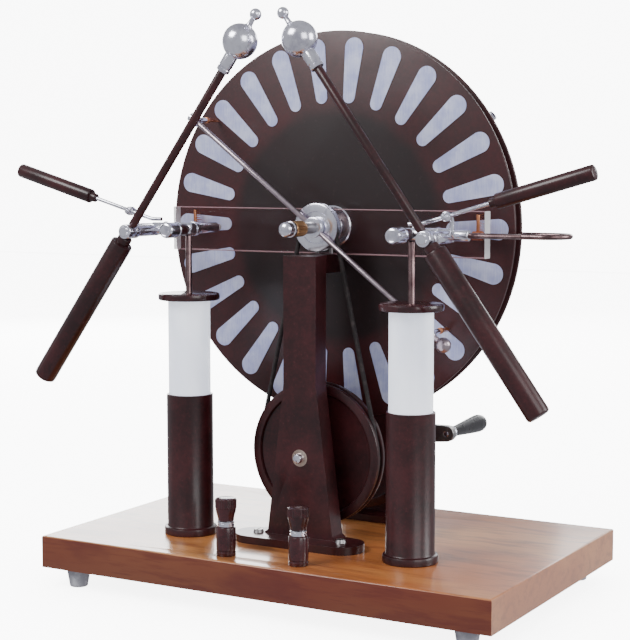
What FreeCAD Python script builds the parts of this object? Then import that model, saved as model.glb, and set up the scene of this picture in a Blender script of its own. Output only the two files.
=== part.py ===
import FreeCAD, Part
import math
import os

V = FreeCAD.Vector

# Board and feet
BOARD_WIDTH = 380.0
BOARD_FRONT = 136.0
BOARD_BACK = 105.0
BOARD_THICK = 25.0
BOARD_EDGE = 1.5
FOOT_HEIGHT = 15.0
FOOT_TOP_R = 9.5
FOOT_TIP_R = 7.0
FOOT_INSET_SIDE = 24.0
FOOT_INSET_END = 15.0
FOOT_HEAD_R = 4.0
FOOT_HEAD_DEPTH = 3.0
FOOT_HEAD_RECESS = 5.0
FOOT_SCREW_R = 2.0
FOOT_SCREW_BITE = 14.0

# Heights of the axle and of the large pulleys' rims above the board
AXIS_ABOVE_BOARD = 240.0
PULLEY_ABOVE_BOARD = 11.5

# Discs, sectors and hubs
DISC_R = 150.0
DISC_THICK = 3.0
DISC_GAP = 8.6
SECTOR_COUNT = 26
SECTOR_IN_R = 95.0
SECTOR_OUT_R = 145.0
SECTOR_IN_WIDTH = 10.0
SECTOR_OUT_WIDTH = 15.5
SECTOR_THICK = 0.4
HUB_TUBE_R = 7.0
HUB_FLANGE_R = 16.0
HUB_FLANGE_THICK = 4.7
AXLE_R = 3.0
RUNNING_FIT = 0.06
FACE_GAP = 0.3
CHAMFER = 0.6

# Belts and pulleys
BELT_R = 1.75
BELT_PLANE = 34.5
BIG_PULLEY_R = 55.0
BIG_PULLEY_THICK = 12.0
BIG_GROOVE_R = 52.0
BIG_RIM_IN_R = 48.0
BIG_WEB_RECESS = 2.5
BIG_BOSS_R = 12.0
SMALL_PULLEY_R = 16.5
SMALL_PULLEY_THICK = 8.0
SMALL_GROOVE_R = 14.0
CROSS_OFFSET = 2.3
CROSS_BEND_R = 30.0
CROSS_LEAVE = 1.4
CROSS_CLEAR = 0.5
CROSS_HOLD = 0.25
CROSS_RETURN = 0.85

# Uprights
COLUMN_HALF = 14.0
COLUMN_FRONT_NEAR = 47.0
COLUMN_REAR_NEAR = 50.0
COLUMN_DEPTH = 16.0
WING_HALF = 28.5
WING_TOP_BELOW_AXIS = 118.0
WING_BLEND_R = 60.0
UPRIGHT_FOOT_HALF = 54.0
UPRIGHT_FOOT_DEPTH = 34.0
UPRIGHT_FOOT_THICK = 6.0
FOOT_FILLET = 3.0
UPRIGHT_SCREW_X = 36.0
UPRIGHT_SCREW_R = 2.0
UPRIGHT_SCREW_HEAD_R = 4.2
UPRIGHT_SCREW_HEAD = 2.4
UPRIGHT_SCREW_BITE = 16.0
REAR_TOP_ABOVE_AXIS = 18.0
BUSH_R = 6.5
BUSH_FLANGE_R = 8.5
BUSH_FLANGE = 1.5

# Cross bar and the arm that carries it
BAR_HALF = 136.0
BAR_NEAR = 20.0
BAR_DEPTH = 10.0
BAR_TOP_ABOVE_AXIS = 14.0
BAR_BOTTOM_BELOW_AXIS = 20.5
ARM_HALF = 10.0
ARM_THICK = 14.0
ARM_BACK_OVERHANG = 2.0
BAR_SCREW_X = 6.0
BAR_SCREW_R = 1.5
BAR_SCREW_HEAD_R = 3.0
BAR_SCREW_HEAD = 1.8
BAR_SCREW_BITE = 8.0
BAR_BUSH_R = 9.0

# Parts threaded on the axle
NEUTRAL_PLANE = 41.5
NEUTRAL_HUB_R = 16.5
NEUTRAL_HUB_THICK = 5.0
FRONT_SLEEVE_R = 4.5
FRONT_SLEEVE_LENGTH = 15.4
BRASS_NUT_R = 6.0
BRASS_NUT_LENGTH = 14.0
CAP_NUT_R = 5.5
CAP_NUT_LENGTH = 11.0
CAP_DOME = 3.0
NUT_SEAT = 2.0
REAR_SLEEVE_R = 5.5
REAR_NUT_LENGTH = 7.0

# Neutralisers
NEUTRAL_ANGLE = 37.5
NEUTRAL_ROD_R = 2.0
NEUTRAL_UPPER_R = 140.0
NEUTRAL_LOWER_R = 128.0
NEUTRAL_BALL_R = 5.8
HOLDER_R = 2.0
HOLDER_COLLAR_R = 3.6
HOLDER_COLLAR = 9.0
HOLDER_REACH = 17.0
BRUSH_HALF = 2.5
BRUSH_THICK = 1.2

# Jars
JAR_X = 96.0
JAR_Y = 68.0
JAR_FLANGE_R = 20.5
JAR_FLANGE = 6.0
JAR_CUP_R = 18.0
JAR_CUP_HEIGHT = 110.0
JAR_FLOOR = 2.0
JAR_TUBE_R = 16.3
JAR_TUBE_WALL = 2.0
JAR_TUBE_TOP = 183.4
JAR_LID_R = 23.75
JAR_LID = 5.1
JAR_LID_PLUG = 8.0
JAR_LINER_WALL = 0.5
JAR_LINER_HEIGHT = 96.0
JAR_ROD_R = 2.5

# Conductors on the jars
TERMINAL_BELOW_AXIS = 2.0
KNOB_R = 6.0
KNOB_FRONT = 100.0
KNOB_LENGTH = 16.0
TERMINAL_SLEEVE_R = 4.25
COLLAR_R = 5.5
COLLAR_LENGTH = 5.0
COLLAR_BACK = 58.0
BAR_STUD_R = 4.0
STUD_BITE = 5.0
STUD_THREAD_R = 2.5
CONDUCTOR_R = 5.0
CONDUCTOR_END = 129.0
TIP_R = 4.0
TIP_END = 141.0
POST_X = 125.5
POST_R = 4.5
PIVOT_PIN_R = 2.4
PIVOT_PIN_BITE = 5.0

# Collectors
COLLECTOR_R = 2.0
COLLECTOR_LEG_Y = 16.0
COLLECTOR_BEND_X = 173.0
COLLECTOR_BELOW_AXIS = 4.5
COLLECTOR_IN_X = 117.0
STRUT_X = 158.0
COMB_X = 124.5
COMB_CLIP_R = 3.4
COMB_CLIP_HALF = 4.0
COMB_HALF = 1.0
COMB_TOP_ABOVE_AXIS = 12.0
COMB_TEETH = 5
COMB_TOOTH = 4.0
COMB_CLEARANCE = 1.0

# Spark electrodes
ELECTRODE_PLANE = 105.0
ELECTRODE_ANGLE = 54.2
PIVOT_BELOW_AXIS = 3.0
CLAMP_R = 5.6
CLAMP_LENGTH = 16.0
ELECTRODE_ROD_R = 2.25
ELECTRODE_SLEEVE_R = 3.25
SLEEVE_END = 150.0
FERRULE_R = 5.0
FERRULE_LENGTH = 8.0
BIG_BALL_AT = 172.0
BIG_BALL_R = 13.0
SMALL_BALL_AT = 195.0
SMALL_BALL_R = 4.35
TIP_STEM_R = 2.25
HANDLE_R = 8.5
HANDLE_START = 11.0
HANDLE_END = 144.0
HANDLE_NECK_R = 5.5
HANDLE_NECK = 6.0

# Side levers
LEVER_PLANE = 91.0
LEVER_R = 1.5
LEVER_HINGE_X = 134.0
LEVER_HINGE_ABOVE_AXIS = 12.1
LEVER_SLOPE = 16.1
LEVER_FLAT_X = 114.0
LEVER_TIP_X = 105.0
LEVER_BEND_R = 10.0
LEVER_EYE_R = 3.4
LEVER_EYE_HALF = 2.5
LEVER_STAND_R = 1.6
LEVER_STAND_BEND_R = 4.0
LEVER_STAND_BACK = 82.0
LEVER_PIN_R = 1.2
LEVER_PIN_FRONT = 97.0
LEVER_NUT_R = 2.5
LEVER_NUT = 2.4
LEVER_GRIP_START = 34.0
LEVER_GRIP_END = 111.5
LEVER_GRIP_R = 5.5
LEVER_COLLAR_R = 3.4
LEVER_COLLAR = 5.0

# Binding posts
BINDING_X = 31.0
BINDING_Y = 118.0
BINDING_BODY_R = 7.3
BINDING_BODY = 21.5
BINDING_RING_R = 6.2
BINDING_RING = 4.2
BINDING_STUD_R = 2.0
BINDING_KNOB_R = 8.0
BINDING_KNOB_WAIST_R = 5.4
BINDING_KNOB_BAND = 6.5
BINDING_KNOB = 17.0

# Drive shaft and crank
SHAFT_R = 3.75
SHAFT_FRONT = 66.5
SHAFT_DOME = 1.5
PULLEY_COLLAR_GAP = 0.4
CRANK_RADIUS = 58.0
CRANK_REST_ANGLE = 3.0
CRANK_ARM_FRONT = 74.0
CRANK_ARM_THICK = 6.0
CRANK_HUB_R = 9.0
CRANK_EYE_R = 6.5
CRANK_PIN_R = 2.2
CRANK_COLLAR_R = 5.8
CRANK_COLLAR_NECK_R = 3.8
CRANK_COLLAR = 6.0
SHAFT_NUT_R = 6.0
SHAFT_NUT = 5.0
GRIP_LENGTH = 57.0
GRIP_SMALL_R = 4.0
GRIP_LARGE_R = 7.3
GRIP_BELLY = 12.0
GRIP_END_R = 5.2
GRIP_END = 5.0
PIN_HEAD_R = 3.4
PIN_HEAD = 1.8
SPACER_COLLAR_R = 8.0

# Heights and planes that follow
BOARD_TOP = FOOT_HEIGHT + BOARD_THICK
AXIS_Z = BOARD_TOP + AXIS_ABOVE_BOARD
DRIVE_Z = BOARD_TOP + PULLEY_ABOVE_BOARD + BIG_PULLEY_R
DRIVE_BELOW_AXIS = AXIS_Z - DRIVE_Z
BAR_BOTTOM = AXIS_Z - BAR_BOTTOM_BELOW_AXIS
BAR_TOP = AXIS_Z + BAR_TOP_ABOVE_AXIS
BAR_FAR = BAR_NEAR + BAR_DEPTH
DISC_IN = DISC_GAP / 2
DISC_OUT = DISC_IN + DISC_THICK
SPOOL_OUT = BELT_PLANE + SMALL_PULLEY_THICK / 2
HUB_NUT_IN = NEUTRAL_PLANE - NEUTRAL_HUB_THICK / 2
HUB_NUT_OUT = NEUTRAL_PLANE + NEUTRAL_HUB_THICK / 2
COLUMN_FRONT_FAR = COLUMN_FRONT_NEAR + COLUMN_DEPTH
COLUMN_REAR_FAR = COLUMN_REAR_NEAR + COLUMN_DEPTH
REAR_FOOT_NEAR = COLUMN_REAR_FAR - UPRIGHT_FOOT_DEPTH
TERMINAL_Z = AXIS_Z - TERMINAL_BELOW_AXIS
COLLECTOR_Z = AXIS_Z - COLLECTOR_BELOW_AXIS
PIVOT_Z = AXIS_Z - PIVOT_BELOW_AXIS
JAR_TOP = BOARD_TOP + JAR_TUBE_TOP
LEVER_Z = AXIS_Z + LEVER_HINGE_ABOVE_AXIS
CLAMP_BACK = ELECTRODE_PLANE - CLAMP_LENGTH / 2
CRANK_ARM_BACK = CRANK_ARM_FRONT + CRANK_ARM_THICK
GRIP_START = CRANK_ARM_BACK + CRANK_COLLAR
GRIP_STOP = GRIP_START + GRIP_LENGTH
MIDDLE_Y = (GRIP_STOP + FACE_GAP + PIN_HEAD - BOARD_FRONT) / 2

X_AXIS = V(1, 0, 0)
Y_AXIS = V(0, 1, 0)
Z_AXIS = V(0, 0, 1)


# Helpers for turned, bent and mirrored pieces
def rod(start, end, radius):
    """Round bar between two points."""
    along = end - start
    return Part.makeCylinder(radius, along.Length, start, along)


def rod_y(radius, y_from, y_to, x=0.0, z=AXIS_Z):
    """Round bar along Y between two stations."""
    return rod(V(x, y_from, z), V(x, y_to, z), radius)


def turned(profile, origin, direction):
    """Closed profile of radius and station pairs, turned about a line."""
    points = [V(radius, 0, station) for radius, station in profile]
    face = Part.Face(Part.makePolygon(points + points[:1]))
    solid = face.revolve(V(0, 0, 0), Z_AXIS, 360)
    solid.Placement = FreeCAD.Placement(origin, FreeCAD.Rotation(Z_AXIS, direction))
    return solid


def chamfered(radius, length, chamfer, origin, direction):
    """Turned bar with both ends chamfered."""
    profile = [
        (0, 0),
        (radius - chamfer, 0),
        (radius, chamfer),
        (radius, length - chamfer),
        (radius - chamfer, length),
        (0, length),
    ]
    return turned(profile, origin, direction)


def bent_path(points, bend_radius):
    """Wire of straight runs joined by tangent arcs."""
    edges = []
    start = points[0]
    for before, corner, after in zip(points, points[1:], points[2:]):
        into = (corner - before).normalize()
        out = (after - corner).normalize()
        half_turn = into.getAngle(out) / 2
        reach = bend_radius * math.tan(half_turn)
        first = corner - into * reach
        last = corner + out * reach
        toward = (out - into).normalize()
        middle = corner + toward * bend_radius * (1 / math.cos(half_turn) - 1)
        edges.append(Part.LineSegment(start, first).toShape())
        edges.append(Part.Arc(first, middle, last).toShape())
        start = last
    edges.append(Part.LineSegment(start, points[-1]).toShape())
    return Part.Wire(edges)


def piped(path, radius):
    """Round section carried along a wire."""
    start = path.Edges[0].valueAt(path.Edges[0].FirstParameter)
    along = path.Edges[0].tangentAt(path.Edges[0].FirstParameter)
    section = Part.Wire(Part.makeCircle(radius, start, along))
    return path.makePipeShell([section], True, False)


def bent_rod(points, radius, bend_radius):
    """Round bar bent along a route."""
    return piped(bent_path(points, bend_radius), radius)


def to_left(shape):
    """The same piece on the other side of the machine."""
    return shape.mirror(V(0, 0, 0), X_AXIS)


def to_rear(shape):
    """The same piece behind the discs."""
    return shape.mirror(V(0, 0, 0), Y_AXIS)


def turned_about_axis(shape, angle, height):
    """Copy turned about a line along Y at a height."""
    copy = shape.copy()
    copy.rotate(V(0, 0, height), Y_AXIS, angle)
    return copy


def slab_xz(outline, y_from, y_to):
    """Outline in the XZ plane made solid between two stations."""
    face = Part.Face(outline)
    face.translate(V(0, y_from, 0))
    return face.extrude(V(0, y_to - y_from, 0))


def save(node, shape):
    """One STEP file for one node, moved so that the origin lies under the middle."""
    placed = shape.copy()
    placed.translate(V(0, -MIDDLE_Y, 0))
    placed.exportStep("parts/" + node + ".step")


def save_pair(name, right_shape):
    """The right piece and its mirrored twin on the left."""
    save("right_" + name, right_shape)
    save("left_" + name, to_left(right_shape))


def save_twins(name, right_pieces):
    """Right pieces and their mirrored twins as one group."""
    save(name, Part.makeCompound(right_pieces + [to_left(piece) for piece in right_pieces]))


# Board, feet and their screws
def foot_places():
    side = BOARD_WIDTH / 2 - FOOT_INSET_SIDE
    front = -(BOARD_FRONT - FOOT_INSET_END)
    back = BOARD_BACK - FOOT_INSET_END
    return [V(x, y, 0) for x in (-side, side) for y in (front, back)]


def base_board():
    depth = BOARD_FRONT + BOARD_BACK
    corner = V(-BOARD_WIDTH / 2, -BOARD_FRONT, FOOT_HEIGHT)
    board = Part.makeBox(BOARD_WIDTH, depth, BOARD_THICK, corner)
    top_edges = [edge for edge in board.Edges if edge.BoundBox.ZMin > BOARD_TOP - BOARD_EDGE]
    board = board.makeFillet(BOARD_EDGE, top_edges)
    for place in foot_places():
        floor = place + V(0, 0, FOOT_HEIGHT)
        board = board.cut(Part.makeCylinder(FOOT_SCREW_R, FOOT_SCREW_BITE, floor))
    for x, y in upright_screw_places():
        hole_floor = V(x, y, BOARD_TOP - UPRIGHT_SCREW_BITE)
        board = board.cut(Part.makeCylinder(UPRIGHT_SCREW_R, BOARD_THICK, hole_floor))
    for x in (-BINDING_X, BINDING_X):
        stud_hole = V(x, -BINDING_Y, BOARD_TOP - BINDING_RING)
        board = board.cut(Part.makeCylinder(BINDING_STUD_R, BOARD_THICK, stud_hole))
    return board


def rubber_foot(place):
    foot = Part.makeCone(FOOT_TIP_R, FOOT_TOP_R, FOOT_HEIGHT, place)
    recess = Part.makeCylinder(FOOT_HEAD_R, FOOT_HEAD_RECESS, place)
    bore = Part.makeCylinder(FOOT_SCREW_R, FOOT_HEIGHT, place)
    return foot.cut(recess.fuse(bore))


def foot_screw(place):
    seat = place + V(0, 0, FOOT_HEAD_RECESS)
    head_floor = seat - V(0, 0, FOOT_HEAD_DEPTH)
    head = Part.makeCylinder(FOOT_HEAD_R, FOOT_HEAD_DEPTH, head_floor)
    length = FOOT_HEIGHT - FOOT_HEAD_RECESS + FOOT_SCREW_BITE
    shank = Part.makeCylinder(FOOT_SCREW_R, length, seat)
    return head.fuse(shank)


# Uprights
def upright_outline(top, rounded):
    foot_top = BOARD_TOP + UPRIGHT_FOOT_THICK
    spread = WING_HALF - COLUMN_HALF
    wing_top = AXIS_Z - WING_TOP_BELOW_AXIS
    lean = V(spread, 0, foot_top - wing_top)
    shoulder = V(COLUMN_HALF, 0, wing_top)
    hip = V(WING_HALF, 0, foot_top)
    low = V(WING_HALF + FOOT_FILLET, 0, foot_top)
    points = [V(COLUMN_HALF, 0, top), shoulder, hip, low]
    half = math.pi / 2 - math.atan2(-lean.z, lean.x)
    reach = WING_BLEND_R * math.tan(half / 2)
    along = V(lean).normalize()
    first = shoulder + V(0, 0, reach)
    last = shoulder + along * reach
    bend_centre = first + V(WING_BLEND_R, 0, 0)
    inward = (shoulder - bend_centre).normalize()
    blend = Part.Arc(first, bend_centre + inward * WING_BLEND_R, last).toShape()
    right = [Part.LineSegment(points[0], first).toShape(), blend]
    toe = hip - along * FOOT_FILLET
    right.append(Part.LineSegment(last, toe).toShape())
    right.append(Part.LineSegment(toe, low).toShape())
    left = [edge.mirror(V(0, 0, 0), X_AXIS) for edge in right]
    floor = Part.LineSegment(low, V(-low.x, 0, low.z)).toShape()
    crown_left = V(-COLUMN_HALF, 0, top)
    crown = Part.LineSegment(points[0], crown_left).toShape()
    if rounded:
        crown_top = V(0, 0, top + COLUMN_HALF)
        crown = Part.Arc(points[0], crown_top, crown_left).toShape()
    edges = Part.sortEdges(right + [floor] + left + [crown])[0]
    return Part.Wire(edges)


def foot_plate(near):
    far = near + UPRIGHT_FOOT_DEPTH
    end_r = UPRIGHT_FOOT_DEPTH / 2
    middle = near + end_r
    run = UPRIGHT_FOOT_HALF - end_r
    low = BOARD_TOP
    edges = [
        Part.LineSegment(V(-run, -near, low), V(run, -near, low)).toShape(),
        Part.Arc(V(run, -near, low), V(run + end_r, -middle, low), V(run, -far, low)).toShape(),
        Part.LineSegment(V(run, -far, low), V(-run, -far, low)).toShape(),
        Part.Arc(V(-run, -far, low), V(-run - end_r, -middle, low), V(-run, -near, low)).toShape(),
    ]
    plate = Part.Face(Part.Wire(edges)).extrude(V(0, 0, UPRIGHT_FOOT_THICK))
    for x in (-UPRIGHT_SCREW_X, UPRIGHT_SCREW_X):
        hole = Part.makeCylinder(UPRIGHT_SCREW_R, UPRIGHT_FOOT_THICK, V(x, -middle, low))
        plate = plate.cut(hole)
    return plate


def upright_screw_places():
    front = -(COLUMN_FRONT_NEAR + UPRIGHT_FOOT_DEPTH / 2)
    rear = REAR_FOOT_NEAR + UPRIGHT_FOOT_DEPTH / 2
    return [(x, y) for x in (-UPRIGHT_SCREW_X, UPRIGHT_SCREW_X) for y in (front, rear)]


def upright_screw(x, y):
    seat = V(x, y, BOARD_TOP + UPRIGHT_FOOT_THICK)
    bottom = V(x, y, BOARD_TOP - UPRIGHT_SCREW_BITE)
    shank = rod(bottom, seat, UPRIGHT_SCREW_R)
    head = turned(
        [
            (0, 0),
            (UPRIGHT_SCREW_HEAD_R, 0),
            (UPRIGHT_SCREW_HEAD_R, UPRIGHT_SCREW_HEAD / 2),
            (UPRIGHT_SCREW_R, UPRIGHT_SCREW_HEAD),
            (0, UPRIGHT_SCREW_HEAD),
        ],
        seat,
        Z_AXIS,
    )
    return shank.fuse(head)


def front_upright():
    column = slab_xz(upright_outline(BAR_BOTTOM, False), -COLUMN_FRONT_FAR, -COLUMN_FRONT_NEAR)
    reach = COLUMN_FRONT_NEAR - BAR_NEAR + ARM_BACK_OVERHANG
    arm_corner = V(-ARM_HALF, -COLUMN_FRONT_NEAR, BAR_BOTTOM - ARM_THICK)
    arm = Part.makeBox(2 * ARM_HALF, reach, ARM_THICK, arm_corner)
    body = column.fuse(arm).fuse(foot_plate(COLUMN_FRONT_NEAR))
    body = body.removeSplitter()
    body = body.cut(rod_y(BUSH_R, -COLUMN_FRONT_FAR, -COLUMN_FRONT_NEAR, 0, DRIVE_Z))
    for x in (-BAR_SCREW_X, BAR_SCREW_X):
        low = V(x, -(BAR_NEAR + BAR_FAR) / 2, BAR_BOTTOM - ARM_THICK)
        body = body.cut(Part.makeCylinder(BAR_SCREW_R, ARM_THICK, low))
        body = body.cut(Part.makeCylinder(BAR_SCREW_HEAD_R, BAR_SCREW_HEAD, low))
    return body


def rear_upright():
    top = AXIS_Z + REAR_TOP_ABOVE_AXIS - COLUMN_HALF
    column = slab_xz(upright_outline(top, True), COLUMN_REAR_NEAR, COLUMN_REAR_FAR)
    body = column.fuse(to_rear(foot_plate(REAR_FOOT_NEAR))).removeSplitter()
    body = body.cut(rod_y(BUSH_R, COLUMN_REAR_NEAR, COLUMN_REAR_FAR, 0, DRIVE_Z))
    return body.cut(rod_y(AXLE_R, COLUMN_REAR_NEAR, COLUMN_REAR_FAR))


def shaft_bush(near, far):
    profile = [
        (SHAFT_R + RUNNING_FIT, 0),
        (BUSH_R, 0),
        (BUSH_R, far - near),
        (BUSH_FLANGE_R, far - near),
        (BUSH_FLANGE_R, far - near + BUSH_FLANGE),
        (SHAFT_R + RUNNING_FIT, far - near + BUSH_FLANGE),
    ]
    return turned(profile, V(0, near, DRIVE_Z), Y_AXIS)


# Cross bar
def cross_bar():
    height = BAR_TOP - BAR_BOTTOM
    bar = Part.makeBox(2 * BAR_HALF, BAR_DEPTH, height, V(-BAR_HALF, -BAR_FAR, BAR_BOTTOM))
    bar = bar.makeChamfer(CHAMFER, [edge for edge in bar.Edges if edge.Length > height])
    bar = bar.cut(rod_y(BAR_BUSH_R, -BAR_FAR, -BAR_NEAR))
    middle = -(BAR_NEAR + BAR_FAR) / 2
    for x in (-BAR_SCREW_X, BAR_SCREW_X):
        bar = bar.cut(Part.makeCylinder(BAR_SCREW_R, BAR_SCREW_BITE, V(x, middle, BAR_BOTTOM)))
    for x in (-JAR_X, JAR_X):
        bar = bar.cut(rod_y(STUD_THREAD_R, -BAR_FAR, STUD_BITE - BAR_FAR, x, TERMINAL_Z))
    return bar


def bar_screw(x):
    middle = -(BAR_NEAR + BAR_FAR) / 2
    low = V(x, middle, BAR_BOTTOM - ARM_THICK)
    head = Part.makeCylinder(BAR_SCREW_HEAD_R, BAR_SCREW_HEAD, low)
    return head.fuse(rod(low, V(x, middle, BAR_BOTTOM + BAR_SCREW_BITE), BAR_SCREW_R))


def bar_bush():
    outer = rod_y(BAR_BUSH_R, -BAR_FAR, -BAR_NEAR)
    return outer.cut(rod_y(HUB_TUBE_R + RUNNING_FIT, -BAR_FAR, -BAR_NEAR))


# Fixed axle and what is threaded on it
def axle():
    front = -(brass_nut_front() + NUT_SEAT + CAP_NUT_LENGTH / 2)
    back = COLUMN_REAR_FAR + REAR_NUT_LENGTH + CAP_NUT_LENGTH / 2
    return rod_y(AXLE_R, front, back)


def brass_nut_front():
    return HUB_NUT_OUT + FRONT_SLEEVE_LENGTH + BRASS_NUT_LENGTH


def nut(radius, length, origin, direction, bore):
    body = chamfered(radius, length, CHAMFER, origin, direction)
    return body.cut(rod(origin, origin + direction * length, bore))


def cap_nut(origin, direction):
    profile = [
        (0, CAP_NUT_LENGTH / 2),
        (AXLE_R, CAP_NUT_LENGTH / 2),
        (AXLE_R, 0),
        (CAP_NUT_R, 0),
        (CAP_NUT_R, CAP_NUT_LENGTH - CAP_DOME),
        (CAP_NUT_R * math.cos(math.pi / 4), CAP_NUT_LENGTH - CAP_DOME / 4),
        (CAP_NUT_R / 3, CAP_NUT_LENGTH),
        (0, CAP_NUT_LENGTH),
    ]
    return turned(profile, origin, direction)


def front_brass_nut():
    start = V(0, -(HUB_NUT_OUT + FRONT_SLEEVE_LENGTH), AXIS_Z)
    front = nut(BRASS_NUT_R, BRASS_NUT_LENGTH, start, -Y_AXIS, AXLE_R)
    washer_at = V(0, -brass_nut_front(), AXIS_Z)
    washer = nut(BRASS_NUT_R, NUT_SEAT, washer_at, -Y_AXIS, AXLE_R)
    return Part.makeCompound([front, washer])


def rear_brass_nut():
    return nut(BRASS_NUT_R, REAR_NUT_LENGTH, V(0, COLUMN_REAR_FAR, AXIS_Z), Y_AXIS, AXLE_R)


def sleeve_on_axle(radius, y_from, y_to):
    return rod_y(radius, y_from, y_to).cut(rod_y(AXLE_R, y_from, y_to))


# Discs, built in front and mirrored behind
def disc_plate():
    plate = rod_y(DISC_R, -DISC_OUT, -DISC_IN)
    plate = plate.cut(rod_y(HUB_TUBE_R, -DISC_OUT, -DISC_IN))
    return plate


def sector():
    out_r = SECTOR_OUT_WIDTH / 2
    in_r = SECTOR_IN_WIDTH / 2
    top = AXIS_Z + SECTOR_OUT_R
    low = AXIS_Z + SECTOR_IN_R
    outer_left = V(-out_r, 0, top - out_r)
    outer_right = V(out_r, 0, top - out_r)
    inner_left = V(-in_r, 0, low + in_r)
    inner_right = V(in_r, 0, low + in_r)
    edges = [
        Part.LineSegment(inner_left, outer_left).toShape(),
        Part.Arc(outer_left, V(0, 0, top), outer_right).toShape(),
        Part.LineSegment(outer_right, inner_right).toShape(),
        Part.Arc(inner_right, V(0, 0, low), inner_left).toShape(),
    ]
    return slab_xz(Part.Wire(edges), -DISC_OUT - SECTOR_THICK, -DISC_OUT)


def disc_sectors():
    first = sector()
    step = 360.0 / SECTOR_COUNT
    ring = [turned_about_axis(first, step * (k + 0.5), AXIS_Z) for k in range(SECTOR_COUNT)]
    return Part.makeCompound(ring)


def disc_hub():
    flange = rod_y(HUB_FLANGE_R, -DISC_OUT - HUB_FLANGE_THICK, -DISC_OUT)
    tube = rod_y(HUB_TUBE_R, -SPOOL_OUT, -DISC_IN)
    hub = flange.fuse([tube, small_pulley()]).removeSplitter()
    return hub.cut(rod_y(AXLE_R + RUNNING_FIT, -SPOOL_OUT, -DISC_IN))


def small_pulley():
    groove_r = SMALL_GROOVE_R - BELT_R
    half = SMALL_PULLEY_THICK / 2
    profile = [
        (HUB_TUBE_R, -half),
        (SMALL_PULLEY_R - CHAMFER, -half),
        (SMALL_PULLEY_R, CHAMFER - half),
        (SMALL_PULLEY_R, -BELT_R - CHAMFER),
        (SMALL_GROOVE_R, -BELT_R),
        (groove_r, -BELT_R),
        (groove_r, BELT_R),
        (SMALL_GROOVE_R, BELT_R),
        (SMALL_PULLEY_R, BELT_R + CHAMFER),
        (SMALL_PULLEY_R, half - CHAMFER),
        (SMALL_PULLEY_R - CHAMFER, half),
        (HUB_TUBE_R, half),
    ]
    return turned(profile, V(0, -BELT_PLANE, AXIS_Z), Y_AXIS)


def disc_spacer():
    reach = DISC_IN - FACE_GAP
    return sleeve_on_axle(HUB_TUBE_R, -reach, reach)


# Belts: tangent runs and arcs round the two grooves
def belt_touch(radius, angle, height, side):
    return V(side * radius * math.cos(angle), 0, height + radius * math.sin(angle))


def open_belt(plane):
    lean = math.asin((BIG_GROOVE_R - SMALL_GROOVE_R) / DRIVE_BELOW_AXIS)
    low_right = belt_touch(BIG_GROOVE_R, lean, DRIVE_Z, 1)
    low_left = belt_touch(BIG_GROOVE_R, lean, DRIVE_Z, -1)
    high_right = belt_touch(SMALL_GROOVE_R, lean, AXIS_Z, 1)
    high_left = belt_touch(SMALL_GROOVE_R, lean, AXIS_Z, -1)
    bottom = V(0, 0, DRIVE_Z - BIG_GROOVE_R)
    crest = V(0, 0, AXIS_Z + SMALL_GROOVE_R)
    edges = [
        Part.LineSegment(low_right, high_right).toShape(),
        Part.Arc(high_right, crest, high_left).toShape(),
        Part.LineSegment(high_left, low_left).toShape(),
        Part.Arc(low_left, bottom, low_right).toShape(),
    ]
    path = Part.Wire(edges)
    path.translate(V(0, plane, 0))
    return piped(path, BELT_R)


def crossing_run(low, high, offset):
    """One slanting run that steps aside where the two runs cross."""
    along = high - low
    share = BIG_GROOVE_R / (BIG_GROOVE_R + SMALL_GROOVE_R)
    aside = V(0, offset, 0)
    after = 1 - share
    points = [
        low,
        low + along * (share - CROSS_LEAVE * after),
        low + along * (share - CROSS_CLEAR * after) + aside,
        low + along * (share + CROSS_HOLD * after) + aside,
        low + along * (share + CROSS_RETURN * after),
        high,
    ]
    return bent_path(points, CROSS_BEND_R).Edges


def crossed_belt(plane):
    lean = math.asin((BIG_GROOVE_R + SMALL_GROOVE_R) / DRIVE_BELOW_AXIS)
    low_right = belt_touch(BIG_GROOVE_R, lean, DRIVE_Z, 1)
    low_left = belt_touch(BIG_GROOVE_R, lean, DRIVE_Z, -1)
    high_right = belt_touch(SMALL_GROOVE_R, -lean, AXIS_Z, 1)
    high_left = belt_touch(SMALL_GROOVE_R, -lean, AXIS_Z, -1)
    crest = V(0, 0, AXIS_Z + SMALL_GROOVE_R)
    bottom = V(0, 0, DRIVE_Z - BIG_GROOVE_R)
    rising = crossing_run(low_right, high_left, CROSS_OFFSET)
    falling = crossing_run(low_left, high_right, -CROSS_OFFSET)
    top = Part.Arc(high_left, crest, high_right).toShape()
    under = Part.Arc(low_left, bottom, low_right).toShape()
    path = Part.Wire(Part.sortEdges(rising + [top] + falling + [under])[0])
    path.translate(V(0, plane, 0))
    return piped(path, BELT_R)


# Drive shaft, large pulleys and crank
def drive_shaft():
    back = CRANK_ARM_BACK + SHAFT_NUT
    straight = rod_y(SHAFT_R, -SHAFT_FRONT, back, 0, DRIVE_Z)
    nose = turned(
        [(0, 0), (SHAFT_R, 0), (SHAFT_R - SHAFT_DOME, SHAFT_DOME), (0, SHAFT_DOME)],
        V(0, -SHAFT_FRONT, DRIVE_Z),
        -Y_AXIS,
    )
    return straight.fuse(nose).removeSplitter()


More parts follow.
